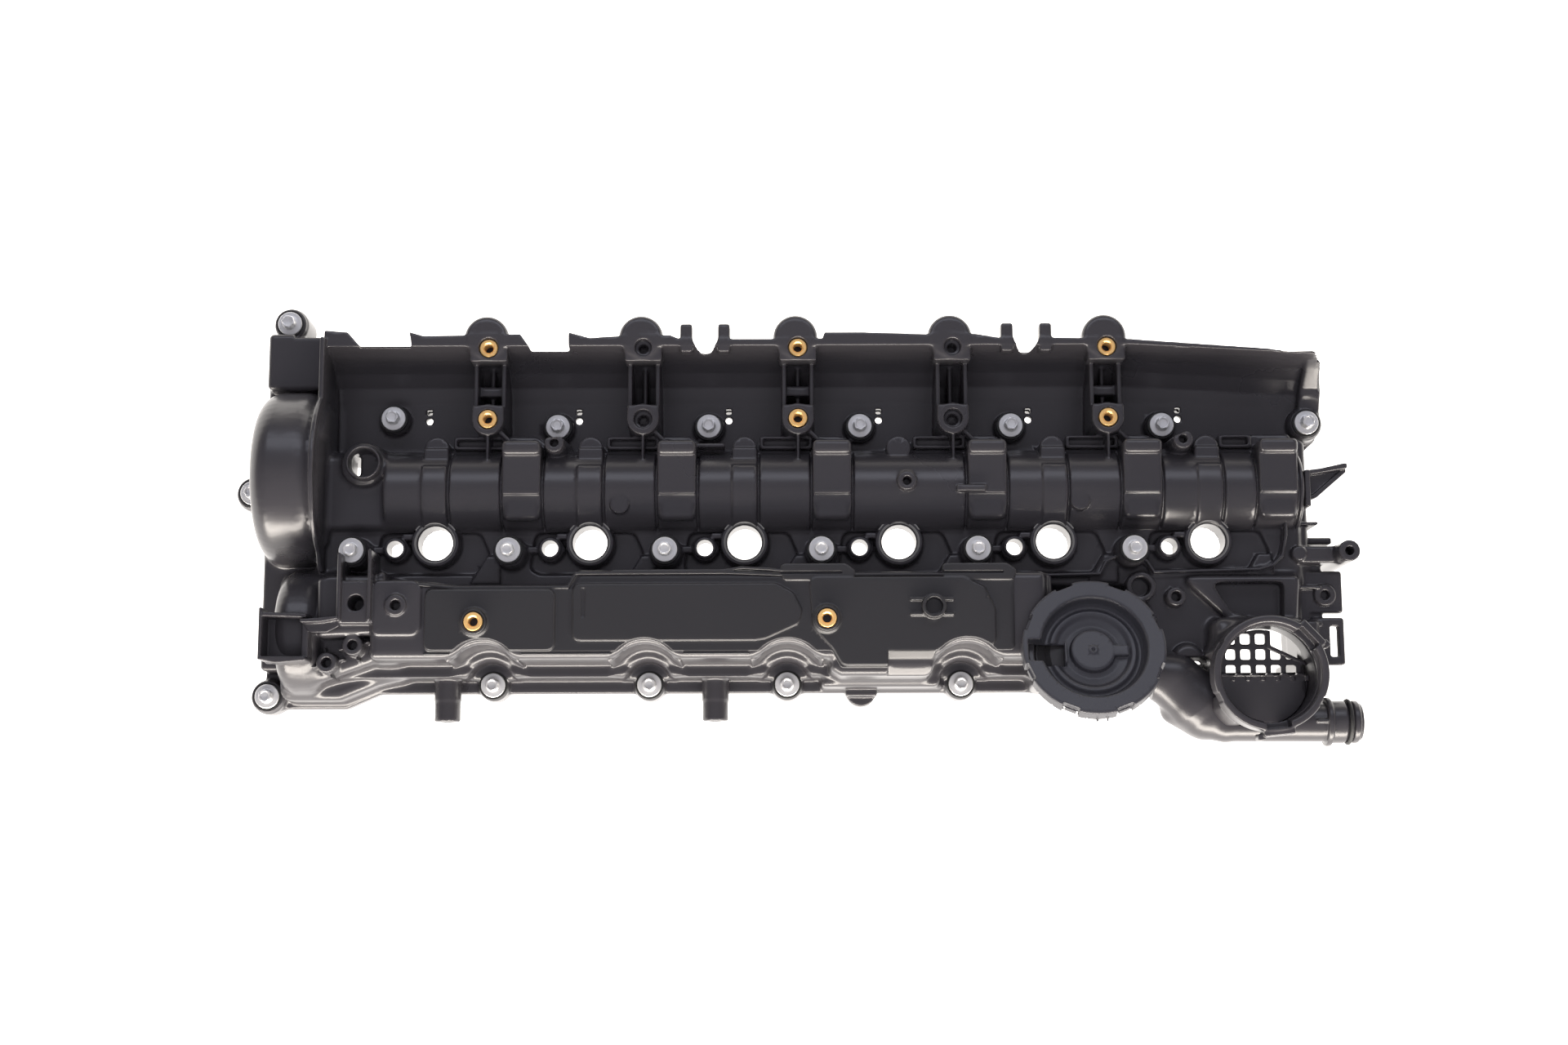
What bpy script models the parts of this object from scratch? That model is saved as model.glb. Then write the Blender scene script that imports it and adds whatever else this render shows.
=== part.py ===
"""Cylinder head cover of an inline six-cylinder diesel engine.

The cover is a ribbed plastic shell with the oil separator, the crankcase pressure valve, the breather pipe and
the oil filler neck on it. Metres, +Z up: X runs along the engine, +Y towards the intake side, the tips of the
captive bolts are at Z = 0 and the sealing plane is at SEAL_PLANE. Lengths in this script are in millimetres and
MM turns them into metres. They are counted from the middle of the row of wells and bolts, and the empty
cover_datum moves everything so that the origin is under the middle of the whole cover.
"""

import math

import bmesh
import bpy
from mathutils import Matrix, Vector

MM = 0.001
GAP = 0.3

# Driving dimensions, in millimetres.
BORE_PITCH = 91.0
FIRST_WELL_X = -204.6
PILLAR_PITCH = 91.7
FIRST_PILLAR_X = -174.2
DATUM_SHIFT = (-4.3, -1.0)

SEAL_PLANE = 12.0
FLANGE_TOP = 22.0
TROUGH_TOP = 30.0
DECK_TOP = 56.0
SHIELD_TOP = 70.0
TUB_TOP = 78.0
LID_TOP = 86.0
WALL = 3.0

WELL_Y = -13.0
WELL_TOP = 62.0
WELL_FOOT = 44.0
WELL_RADIUS = 10.15
GLOW_OFFSET = (-23.3, -16.5)
GLOW_TOP = 64.0
GLOW_FOOT = 50.0
CENTRE_BOLT_OFFSET = (-46.0, -19.5)

CAM_Y = 18.0
CAM_Z = 50.0
CAM_RADIUS = 24.0

BODY_X = (-276.0, 306.0)
CHAMBER_X = (-310.6, -269.6)
BULKHEAD_X = (-274.0, -270.0)
TUB_X = (-222.0, 133.0)
TUB_Y = (-88.0, -40.5)

VALVE_CENTRE = (176.8, -78.5, 97.0)
VALVE_TILT = math.radians(17.0)
VALVE_CAP_RADIUS = 41.0

NECK_XY = (274.1, -95.2)
NECK_RADIUS = 32.5
NECK_BORE = 27.0
NECK_TOP = 110.0
NECK_SEAT = 96.0

BOLT_SHANK = 3.0
BOLT_HOLE = 3.7
WASHER_RADIUS = 7.2

INSERT_RADIUS = 5.5
INSERT_BORE = 2.9

WELLS = [FIRST_WELL_X + BORE_PITCH * i for i in range(6)]
PILLARS = [FIRST_PILLAR_X + PILLAR_PITCH * i for i in range(5)]
INSERT_PILLARS = PILLARS[::2]
PLAIN_PILLARS = PILLARS[1::2]

# Bolts: x, y and the height of the seat under the washer.
CENTRE_BOLTS = [(x + CENTRE_BOLT_OFFSET[0], CENTRE_BOLT_OFFSET[1], 77.0) for x in WELLS]
INTAKE_BOLTS = [(-234.6, 66.2, 40.0)] + [(-135.4 + BORE_PITCH * i, 60.8, 40.0) for i in range(5)]
EXHAUST_BOLTS = [(-173.1, -94.3, 30.0), (-79.9, -94.3, 30.0), (2.3, -94.3, 30.0), (105.8, -94.3, 30.0)]
END_BOLTS = [(316.0, 61.8, 40.0), (-307.8, -100.4, 30.0), (-298.9, 125.2, 40.0), (-318.1, 20.9, 40.0)]
BOLTS = CENTRE_BOLTS + INTAKE_BOLTS + EXHAUST_BOLTS + END_BOLTS

# Threaded inserts: x, y and the height of the top face.
PILLAR_INSERTS = [(x, y, 68.3) for y in (60.2, 102.9) for x in INSERT_PILLARS]
LID_INSERTS = [(-177.2, -62.8, 92.3), (25.2, -61.4, 92.3)]
INSERT_LENGTH = 10.0


# ---------------------------------------------------------------- scene and helpers

for old in list(bpy.data.objects):
    bpy.data.objects.remove(old, do_unlink=True)

parts = bpy.data.collections.new("cylinder_head_cover")
cutters = bpy.data.collections.new("cutters")
for collection in (parts, cutters):
    bpy.context.scene.collection.children.link(collection)

datum = bpy.data.objects.new("cover_datum", None)
datum.location = (DATUM_SHIFT[0] * MM, DATUM_SHIFT[1] * MM, 0.0)
cutters.objects.link(datum)

valve_axis_empty = bpy.data.objects.new("valve_axis", None)
valve_axis_empty.location = Vector(VALVE_CENTRE) * MM
valve_axis_empty.rotation_euler = (-VALVE_TILT, 0.0, 0.0)
valve_axis_empty.parent = datum
cutters.objects.link(valve_axis_empty)


def material(name, colour, roughness, metallic=0.0):
    made = bpy.data.materials.new(name)
    made.use_nodes = True
    shader = made.node_tree.nodes["Principled BSDF"]
    shader.inputs["Base Color"].default_value = (*colour, 1.0)
    shader.inputs["Roughness"].default_value = roughness
    shader.inputs["Metallic"].default_value = metallic
    return made


BLACK_NYLON = (0.022, 0.022, 0.025)
ZINC = (0.55, 0.55, 0.53)
BRASS = (0.62, 0.42, 0.14)
BLACK_RUBBER = (0.012, 0.012, 0.012)
SPRING_STEEL = (0.45, 0.45, 0.46)


def in_place(name, mesh, home, parent=datum):
    """Puts a mesh in the scene as an object of a collection, under the datum or the valve axis."""
    placed = bpy.data.objects.new(name, mesh)
    home.objects.link(placed)
    placed.parent = parent
    if home is not parts:
        placed.hide_render = True
        placed.display_type = "WIRE"
    return placed


def mesh_from(name, build, transform=None):
    """Runs build on a new bmesh in millimetres and returns the mesh in metres."""
    shape = bmesh.new()
    build(shape)
    if transform is not None:
        bmesh.ops.transform(shape, matrix=transform, verts=shape.verts)
    bmesh.ops.scale(shape, vec=(MM, MM, MM), verts=shape.verts)
    made = bpy.data.meshes.new(name)
    shape.to_mesh(made)
    shape.free()
    return made


def box(name, home, x, y, z, parent=datum):
    """A block between the low and high value of each axis."""
    middle = Vector((sum(x), sum(y), sum(z))) / 2
    size = (x[1] - x[0], y[1] - y[0], z[1] - z[0])
    transform = Matrix.Translation(middle) @ Matrix.Diagonal((*size, 1.0))
    return in_place(name, mesh_from(name, lambda shape: bmesh.ops.create_cube(shape, size=1.0), transform), home, parent)


TURN_TO_AXIS = {
    "X": Matrix.Rotation(math.pi / 2, 4, "Y"),
    "Y": Matrix.Rotation(-math.pi / 2, 4, "X"),
    "Z": Matrix.Identity(4),
}


def drum(name, home, centre, radius, low, high, top_radius=None, sides=24, axis="Z", parent=datum):
    """A cylinder or cone along an axis. centre holds the two other coordinates, in X, Y, Z order."""
    top_radius = radius if top_radius is None else top_radius
    middle = list(centre)
    middle.insert("XYZ".index(axis), (low + high) / 2)
    transform = Matrix.Translation(Vector(middle)) @ TURN_TO_AXIS[axis]

    def build(shape):
        bmesh.ops.create_cone(
            shape, cap_ends=True, segments=sides, radius1=radius, radius2=top_radius, depth=high - low
        )

    return in_place(name, mesh_from(name, build, transform), home, parent)


def curve_to_mesh(name, curve, home, parent=datum):
    """Turns a curve into a mesh object with its caps welded on."""
    guide = bpy.data.objects.new(name + "_curve", curve)
    bpy.context.scene.collection.objects.link(guide)
    graph = bpy.context.evaluated_depsgraph_get()
    made = bpy.data.meshes.new_from_object(guide.evaluated_get(graph))
    bpy.data.objects.remove(guide, do_unlink=True)
    shape = bmesh.new()
    shape.from_mesh(made)
    bmesh.ops.remove_doubles(shape, verts=shape.verts, dist=1e-6)
    bmesh.ops.recalc_face_normals(shape, faces=shape.faces)
    shape.to_mesh(made)
    shape.free()
    return in_place(name, made, home, parent)


# Local X, Y, Z of a flat outline, in world terms, for each plane that an outline is drawn in.
PLANE_TURN = {
    "XY": Matrix.Identity(4),
    "YZ": Matrix(((0, 0, 1, 0), (1, 0, 0, 0), (0, 1, 0, 0), (0, 0, 0, 1))),
}


def slab(name, home, outlines, low, high, plane="XY", parent=datum):
    """A flat outline, with inner outlines as holes, given thickness from low to high."""
    curve = bpy.data.curves.new(name, "CURVE")
    curve.dimensions = "2D"
    curve.fill_mode = "BOTH"
    curve.extrude = (high - low) / 2 * MM
    curve.render_resolution_u = 0
    for outline in outlines:
        spline = curve.splines.new("POLY")
        spline.points.add(len(outline) - 1)
        for point, (across, along) in zip(spline.points, outline):
            point.co = (across * MM, along * MM, 0.0, 1.0)
        spline.use_cyclic_u = True
    solid = curve_to_mesh(name, curve, home, parent)
    lift = Matrix.Translation((0.0, 0.0, (low + high) / 2 * MM))
    solid.data.transform(PLANE_TURN[plane] @ lift)
    return solid


def tube(name, home, route, radius, resolution=3, parent=datum):
    """A round rod along a smooth route."""
    curve = bpy.data.curves.new(name, "CURVE")
    curve.dimensions = "3D"
    curve.bevel_depth = radius * MM
    curve.bevel_resolution = resolution
    curve.use_fill_caps = True
    curve.render_resolution_u = 0
    spline = curve.splines.new("POLY")
    spline.points.add(len(route) - 1)
    for point, place in zip(spline.points, route):
        point.co = (*(Vector(place) * MM), 1.0)
    return curve_to_mesh(name, curve, home, parent)


def turned(name, home, profile, place=(0.0, 0.0, 0.0), steps=24, closed=False, parent=datum):
    """A profile of radius and height points, listed down the outer side, turned round Z with a Screw modifier."""
    mesh = bpy.data.meshes.new(name)
    points = [(radius * MM, 0.0, height * MM) for radius, height in profile]
    edges = [(i, i + 1) for i in range(len(points) - 1)]
    if closed:
        edges.append((len(points) - 1, 0))
    mesh.from_pydata(points, edges, [])
    solid = in_place(name, mesh, home, parent)
    solid.location = Vector(place) * MM
    screw = solid.modifiers.new("turn", "SCREW")
    screw.steps = steps
    screw.render_steps = steps
    screw.use_merge_vertices = True
    screw.merge_threshold = 0.00001
    screw.use_smooth_shade = True
    return solid


def group(name):
    made = bpy.data.collections.new(name)
    cutters.children.link(made)
    return made


def combine(target, operation, tools):
    """Joins or cuts a solid with every object of a collection."""
    step = target.modifiers.new(operation.lower(), "BOOLEAN")
    step.operation = operation
    step.operand_type = "COLLECTION"
    step.collection = tools
    return step


def finish(solid, paint):
    solid.data.materials.clear()
    solid.data.materials.append(paint)
    return solid


def arc(centre, radius, start, end, count):
    """Points of an arc, from the start angle to the end angle in degrees."""
    angles = [math.radians(start + (end - start) * i / (count - 1)) for i in range(count)]
    return [(centre[0] + radius * math.cos(a), centre[1] + radius * math.sin(a)) for a in angles]


# ---------------------------------------------------------------- cover shell

FLANGE_OUTLINE = [
    (-311, -107.4), (-262, -107.4), (-242, -98.7), (238, -98.7), (246, -109), (303, -109), (312, -98), (324.5, -89.5),
    (317.5, 20), (317.5, 47), (326, 55), (326, 64), (320, 71), (300, 76), (-262, 76), (-262, 117.5), (-311, 117.5),
]


def body_profile(inset, cam_radius, deck, floor):
    """Half of the body's section in Y and Z: exhaust wall, deck and camshaft bulge down to the intake trough."""
    cam = arc((CAM_Y, CAM_Z), cam_radius, 165, 15, 9)
    return [(-88 + inset, deck + 10 - inset), (TUB_Y[1] - inset, deck + 10 - inset), (-38 - inset, deck), (-10, deck),
            *cam, (42.6 - inset, 54), (48 - inset, floor)]


def shell_outer():
    """The outside of every hollow stretch of the cover."""
    added = group("shell_outer")
    slab("flange_plate", added, [FLANGE_OUTLINE], SEAL_PLANE, FLANGE_TOP)
    box("tub_block", added, (BODY_X[0] + 0.9, TUB_X[1]), (TUB_Y[0] - 0.4, TUB_Y[1] + 0.3), (60, TUB_TOP))
    box("tub_bulge", added, (27, 92), (-97, -80), (FLANGE_TOP - 1, TUB_TOP - 0.5))
    box("end_chamber", added, CHAMBER_X, (-86.0, 117.2), (SEAL_PLANE + 0.4, 34))
    slab("bulkhead", added, [[(-30, 20.6), (-30, 62)] + arc((28, 45), 51.5, 150, 35, 7) + [(108.6, 74), (108.6, 20.6)]],
         *BULKHEAD_X, "YZ")
    slab("front_dome", added, [arc((28, 45), 50, 0, 180, 11) + [(-22, 20), (78, 20)]], -309.5, -272, "YZ")
    slab("lower_dome", added, [arc((-64, 42), 38, 0, 180, 9) + [(-102, 20), (-26, 20)]], -295, -271, "YZ")
    for i, x in enumerate(WELLS):
        start = x + 40.2 if i < 5 else x + 28.6
        slab(
            "cam_saddle_%d" % i, added,
            [arc((CAM_Y, CAM_Z), CAM_RADIUS + 2.5, 172, 70, 5) + [(29, 76.5), (43.5, 73), (44, 42), (-8, 42)]],
            start, start + 22.7, "YZ",
        )
        drum("cam_lobe_%d" % i, added, (x + 0.3, 43.0), 7.4, 43.3, 61.7, sides=9)
    drum("valve_housing", added, (0, 0), 24, -36, -10.6, top_radius=37.5, sides=24, parent=valve_axis_empty)
    box("valve_foot", added, (150, 213), (-100.5, -60), (21, 70))
    box("valve_bridge", added, (130, 152), (-72, -60), (58, 73.6))
    drum("neck_base", added, NECK_XY, NECK_RADIUS, 74, NECK_SEAT, sides=24)
    box("neck_foot", added, (248.5, 302), (-100.5, -60), (20, 82))
    return added


def shell_cavity():
    """The hollow that opens downwards over the camshafts and the timing chain."""
    removed = group("shell_cavity")
    inner = [(-81, 10), (-81, 20), (-85, 26), (-85, 40)] + [(-43.5, 40), (-36, 53), (-10, 53)]
    inner += arc((CAM_Y, CAM_Z), CAM_RADIUS - WALL, 170, 10, 7) + [(39.4, 50), (44, 26), (46, 20), (46, 10)]
    slab("valve_train_space", removed, [inner], -267, 302, "YZ")
    box("chain_space", removed, (-299, -275.5), (-81, 102), (10, 31))
    slab("front_dome_space", removed, [arc((28, 45), 46.5, 0, 180, 9) + [(-18.5, 29), (74.5, 29)]], -305, -275.5, "YZ")
    slab("lower_dome_space", removed, [arc((-64, 42), 34.5, 0, 180, 7) + [(-80, 29), (-32, 29)]], -291, -275.5, "YZ")
    drum("camshaft_passage", removed, (CAM_Y, 45.0), 18, -277, -265, sides=20, axis="X")
    box("trough_pocket", removed, (-255, 296), (65.0, 72.5), (10, 26))
    box("filler_shaft", removed, (252, 298), (-91.5, -64), (10, 75))
    return removed


def shell_features():
    """Columns, bosses, pillars, the intake shield and what else stands on the shell or runs through its hollow."""
    added = group("shell_features")
    for i, x in enumerate(WELLS):
        drum("well_tower_%d" % i, added, (x, WELL_Y), 14.5, WELL_FOOT, WELL_TOP, sides=14)
        drum("glow_tower_%d" % i, added, (x + GLOW_OFFSET[0], GLOW_OFFSET[1]), 7.6, GLOW_FOOT, GLOW_TOP, sides=8)
    for i, (x, y, seat) in enumerate(BOLTS):
        radius = 9.4 if (x, y, seat) in END_BOLTS else 8.0
        drum("bolt_column_%d" % i, added, (x, y), radius, SEAL_PLANE + 0.2, seat, sides=8)
    shield = [(73, 29.6), (88, 35), (100, 50), (107, SHIELD_TOP), (110, SHIELD_TOP), (103, 48.5), (90.5, 32.3),
              (73, 26.5)]
    slab("intake_shield", added, [shield], -272.5, 320, "YZ")
    slab("trough_floor", added, [[(-271, 44), (305, 44), (319, 60), (322, 75), (-271, 75)]], 25.9, TROUGH_TOP)
    for i, x in enumerate(PILLARS):
        drum("pillar_boss_%d" % i, added, (x, 60.0), 9.0, 24, 68, sides=10)
        drum("pillar_ear_%d" % i, added, (x - 1.0, 107.3), 12.8, 55.4, 67.8, sides=15)
        for side in (-1, 1):
            middle = x + side * 8.2
            box("pillar_web_%d_%d" % (i, side), added, (middle - 1.2, middle + 1.2), (56, 108), (27, 66))
    for i, x in enumerate((-60.6, -38.4, 129.8, 152.6)):
        box("edge_post_%d" % i, added, (x, x + 7.4), (106, 115.8), (62, SHIELD_TOP - 0.4))
    drum("sensor_tower", added, (-246.5, 33.5), 12.5, 57, 68, sides=20)
    drum("sensor_collar", added, (-246.5, 33.5), 10.5, 60, 75, sides=20)
    for i, (x, y, low, high) in enumerate([(-134.1, 44.6, 40, 75), (72.6, 20.7, 69, 79), (235.2, 45.6, 40, 75)]):
        drum("screw_boss_%d" % i, added, (x, y), 5.6, low, high, sides=11)
    for i, x in enumerate((-200.0, -40.5)):
        drum("side_post_%d" % i, added, (x, 30.0), 7.7, -116, -86, sides=18, axis="Y")
    drum("rear_boss_arm", added, (-21.0, 60.0), 4.6, 303, 330, sides=16, axis="X")
    drum("rear_boss", added, (330.0, -21.0), 6.0, 24, 75, sides=16)
    box("rear_shelf", added, (303, 318.4), (-85.6, -24.6), (28.4, 49.7))
    box("rear_tab", added, (309.4, 330.2), (-54.6, -30.4), (44.3, 51.6))
    drum("edge_tab", added, (46.5, -98.0), 9.0, SEAL_PLANE + 0.3, FLANGE_TOP + 1, sides=20)
    for i, (x, y) in enumerate([(-262.6, -83.7), (-248.0, -73.9), (-232.0, -50.7)]):
        drum("side_boss_%d" % i, added, (x, y), 6.0, 74, 84, sides=14)
    return added


def shell_openings():
    """Holes, bores and pockets cut last, through everything that is in their way."""
    removed = group("shell_openings")
    for i, x in enumerate(WELLS):
        drum("well_bore_%d" % i, removed, (x, WELL_Y), WELL_RADIUS, -1, 70, sides=14)
        drum("well_chamfer_%d" % i, removed, (x, WELL_Y), WELL_RADIUS, WELL_TOP - 2.2, WELL_TOP + 1,
             top_radius=WELL_RADIUS + 3.2, sides=14)
        drum("glow_bore_%d" % i, removed, (x + GLOW_OFFSET[0], GLOW_OFFSET[1]), 4.8, -1, 70, sides=8)
        drum("drain_hole_%d" % i, removed, (x - 10.0, 67.0), 2.0, 20, 40, sides=6)
    for i, (x, y, seat) in enumerate(BOLTS):
        drum("bolt_bore_%d" % i, removed, (x, y), BOLT_HOLE, -1, 100, sides=6)
    for i, (x, y, _) in enumerate(EXHAUST_BOLTS):
        drum("tool_recess_%d" % i, removed, (x, y), 13.5, 30, 90, sides=14)
    for i, (x, y, top) in enumerate(PILLAR_INSERTS):
        drum("insert_seat_%d" % i, removed, (x, y), INSERT_RADIUS + GAP, top - INSERT_LENGTH - GAP, top + 5, sides=12)
    for i, x in enumerate(PLAIN_PILLARS):
        for y in (60.2, 102.9):
            drum("plain_hole_%d_%d" % (i, y), removed, (x, y), 3.4, 58.7, 75, sides=7)
    for i, x in enumerate((-200.0, -40.5)):
        drum("side_post_bore_%d" % i, removed, (x, 30.0), 2.9, -117, -102, sides=12, axis="Y")
    drum("rear_boss_bore", removed, (330.0, -21.0), 2.9, 57, 80, sides=12)
    drum("sensor_bore", removed, (-246.5, 33.5), 7.6, 61, 90, sides=16)
    box("sensor_slit", removed, (-254, -250), (27.5, 39.5), (40, 66))
    for i, (x, y, top) in enumerate([(-134.1, 44.6, 75), (72.6, 20.7, 79), (235.2, 45.6, 75)]):
        drum("screw_hole_%d" % i, removed, (x, y), 2.4, top - 8, top + 1, sides=10)
    for i, (x, y) in enumerate([(-262.6, -83.7), (-248.0, -73.9)]):
        drum("side_hole_%d" % i, removed, (x, y), 3.0, 76, 85, sides=10)
    # The shield's edge runs closer in between the pillars and towards the rear end.
    for i, (low, high, edge) in enumerate([(-251.5, -221, 104), (-149.5, -127, 102.7)]):
        box("edge_notch_%d" % i, removed, (low, high), (edge, 130), (50, 90))
    slab("rear_edge_slope", removed, [[(208, 106), (300, 99), (330, 96), (330, 130), (208, 130)]], 35, 90)
    # Separator tub, open at the top, with its drain and its way to the valve.
    box("tub_space", removed, (TUB_X[0] + 4, TUB_X[1] - 3), (-70, -44), (44, 90))
    for i, (low, high) in enumerate([(-216, -189), (-157, -96), (-64, -14), (19, 90), (122, TUB_X[1] - 3)]):
        box("tub_side_space_%d" % i, removed, (low, high), (-84.5, -69), (44, 90))
    drum("tub_drain", removed, (60.0, -62.0), 5.3, 30, 50, sides=16)
    # Valve cup, seat and outlet.
    drum("valve_cup", removed, (0, 0), 33, -16.4, 5, sides=24, parent=valve_axis_empty)
    drum("valve_cup_cone", removed, (0, 0), 17, -30, -16, top_radius=31, sides=24, parent=valve_axis_empty)
    drum("valve_seat", removed, (0, 0), 8, -45, -29, sides=16, parent=valve_axis_empty)
    drum("valve_chamber", removed, (180.0, -85.0), 12, 33, 64, sides=14)
    drum("valve_inlet", removed, (-66.0, 68.0), 3.6, 126, 150, sides=10, axis="X")
    drum("valve_outlet", removed, (-91.5, 57.8), 9.0, 184, 216, sides=14, axis="X")
    box("pipe_recess", removed, (213.4, 248.2), (-112, -75.5), (43, 90))
    # Filler neck.
    drum("neck_bore", removed, NECK_XY, NECK_BORE, 70, 100, sides=24)
    return removed


def make_cover_shell(paint):
    """A solid that follows the outer profile, hollowed, and then given its features and openings."""
    outer = [(-98.4, SEAL_PLANE + 0.3), (-98.4, FLANGE_TOP - 0.3), (-89.5, FLANGE_TOP - 0.3)]
    outer += body_profile(0.0, CAM_RADIUS, DECK_TOP, 29)
    outer += [(48, SEAL_PLANE + 0.3)]
    shell = slab("cover_shell", parts, [outer], BODY_X[0] + 0.3, BODY_X[1], "YZ")
    combine(shell, "UNION", shell_outer())
    combine(shell, "DIFFERENCE", shell_cavity())
    combine(shell, "UNION", shell_features())
    combine(shell, "DIFFERENCE", shell_openings())
    return finish(shell, paint)


# ---------------------------------------------------------------- separator

def lid_outline(inset):
    """The lid's outline: straight on the deck side, with a bay for each flange bolt on the exhaust side."""
    low_y = -87.5 + inset
    points = [(TUB_X[0] - 2 + inset, -41.5 - inset), (TUB_X[0] - 2 + inset, low_y)]
    for x, y, _ in EXHAUST_BOLTS:
        bay = 15.0 + inset
        half = math.degrees(math.acos((low_y - y) / bay)) if bay > low_y - y else 0.0
        points += arc((x, y), bay, 90 + half, 90 - half, 9)
    points += [(TUB_X[1] - inset, low_y), (TUB_X[1] - inset, -41.5 - inset)]
    return points


def make_separator_lid(paint):
    lid = slab("separator_lid", parts, [lid_outline(0.0)], TUB_TOP + GAP, LID_TOP - 3)
    added = group("lid_panels")
    slab("lid_panel_left", added, [[(-208, -44), (-126, -44), (-126, -78), (-150, -78), (-156, -74), (-190, -74),
                                    (-196, -78), (-208, -78)]], LID_TOP - 4, LID_TOP)
    slab("lid_panel_middle", added, [[(-119, -43.5), (-6, -43.5), (7, -50), (10, -60), (4, -68), (-14, -74),
                                      (-64, -74), (-72, -70), (-88, -70), (-96, -76), (-119, -76)]],
         LID_TOP - 4, LID_TOP)
    slab("lid_panel_right", added, [[(14, -43.5), (118, -43.5), (124, -50), (124, -60), (116, -70), (92, -74),
                                     (40, -82), (22, -76), (14, -66)]], LID_TOP - 4, LID_TOP)
    for i, (x, y, top) in enumerate(LID_INSERTS):
        drum("lid_insert_boss_%d" % i, added, (x, y), 8.2, LID_TOP - 3.6, top - 0.5, sides=20)
    drum("lid_tube_boss", added, (86.5, -54.6), 6.2, LID_TOP - 3.3, 93, sides=16)
    combine(lid, "UNION", added)
    removed = group("lid_holes")
    for i, (x, y, top) in enumerate(LID_INSERTS):
        drum("lid_insert_seat_%d" % i, removed, (x, y), INSERT_RADIUS + GAP, top - INSERT_LENGTH - 0.45, top + 2,
             sides=12)
    drum("lid_tube_hole", removed, (86.5, -54.6), 3.2, LID_TOP - 2, 95, sides=12)
    combine(lid, "DIFFERENCE", removed)
    return finish(lid, paint)


DRAIN_XY = (60.0, -62.0)
BALL_RADIUS = 3.0
BALL_Z = 35.6


def make_separator_baffle(paint):
    """Plate with fins that the gas winds round, and the drain tube with the ball's cage under it."""
    baffle = box("separator_baffle", parts, (TUB_X[0] + 8, TUB_X[1] - 8), (-68, -46), (60, 62.4))
    added = group("baffle_parts")
    for i in range(8):
        x = -200 + 40 * i
        box("baffle_fin_%d" % i, added, (x, x + 2.4), (-66 if i % 2 else -58, -48), (48, 61))
    drum("drain_tube", added, DRAIN_XY, 4.9, 31, 61, sides=16)
    combine(baffle, "UNION", added)
    removed = group("baffle_cuts")
    drum("drain_bore", removed, DRAIN_XY, 2.0, 30, 65, sides=12)
    drum("ball_room", removed, DRAIN_XY, 3.6, 32.2, 43.0, sides=16)
    for i in range(2):
        size = ((8, 1.6), (1.6, 8))[i]
        box("cage_window_%d" % i, removed, (DRAIN_XY[0] - size[0], DRAIN_XY[0] + size[0]),
            (DRAIN_XY[1] - size[1], DRAIN_XY[1] + size[1]), (33.2, 39))
    for i in range(6):
        x = -180 + 50 * i
        box("gas_window_%d" % i, removed, (x, x + 12), (-64, -50), (58, 64))
    combine(baffle, "DIFFERENCE", removed)
    return finish(baffle, paint)


def make_drain_ball(paint):
    def build(shape):
        bmesh.ops.create_uvsphere(shape, u_segments=12, v_segments=8, radius=BALL_RADIUS)

    ball = in_place("drain_ball", mesh_from("drain_ball", build), parts)
    ball.location = Vector((*DRAIN_XY, BALL_Z)) * MM
    return finish(ball, paint)


# ---------------------------------------------------------------- pressure valve, in the valve axis's own frame

def make_pcv_cap(paint):
    """Snap cap: a flat ring round a stepped bowl, with a skirt that reaches over the housing."""
    profile = [(0, -7.5), (12, -7.5), (12, -9), (26, -8.0), (31, 0), (VALVE_CAP_RADIUS - 1, 0), (VALVE_CAP_RADIUS, -1),
               (VALVE_CAP_RADIUS, -15), (38.6, -15), (38.6, -10.2), (30.5, -10.2), (25, -10.6), (0, -10.6)]
    cap = turned("pcv_cap", parts, profile, steps=32, parent=valve_axis_empty)
    added = group("cap_parts")
    box("cap_tab", added, (12, 30), (-2.5, 2.5), (-9, -4), parent=valve_axis_empty)
    combine(cap, "UNION", added)
    removed = group("cap_windows")
    for i in range(8):
        angle = 2 * math.pi * (i + 0.5) / 8
        window = box("cap_window_%d" % i, removed, (36.5, 44), (-4, 4), (-13.5, -10.6), parent=valve_axis_empty)
        window.rotation_euler = (0.0, 0.0, angle)
    combine(cap, "DIFFERENCE", removed)
    return finish(cap, paint)


def make_pcv_diaphragm(paint):
    profile = [(13.6, -12.6), (24, -12.4), (27, -14.8), (31.5, -12.2), (32.5, -12.2), (32.5, -14.0), (31.4, -14.0),
               (27, -16.4), (23.6, -14.0), (13.6, -14.2)]
    ring = turned("pcv_diaphragm", parts, profile, steps=24, closed=True, parent=valve_axis_empty)
    return finish(ring, paint)


def make_pcv_plunger(paint):
    profile = [(0, -12.0), (13.0, -12.0), (13.2, -12.4), (13.2, -15.4), (4.4, -15.8), (4.4, -24.6), (6.6, -25.2),
               (6.6, -25.6), (0, -25.6)]
    return finish(turned("pcv_plunger", parts, profile, steps=16, parent=valve_axis_empty), paint)


def make_pcv_spring(paint):
    low, high, wire, radius, turns, per_turn = -29.0, -18.0, 0.55, 8.6, 4, 10
    count = turns * per_turn
    route = []
    for i in range(count + 1):
        angle = 2 * math.pi * i / per_turn
        route.append((radius * math.cos(angle), radius * math.sin(angle), low + (high - low) * i / count))
    return finish(tube("pcv_spring", parts, route, wire, resolution=1, parent=valve_axis_empty), paint)


# ---------------------------------------------------------------- filler neck

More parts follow.
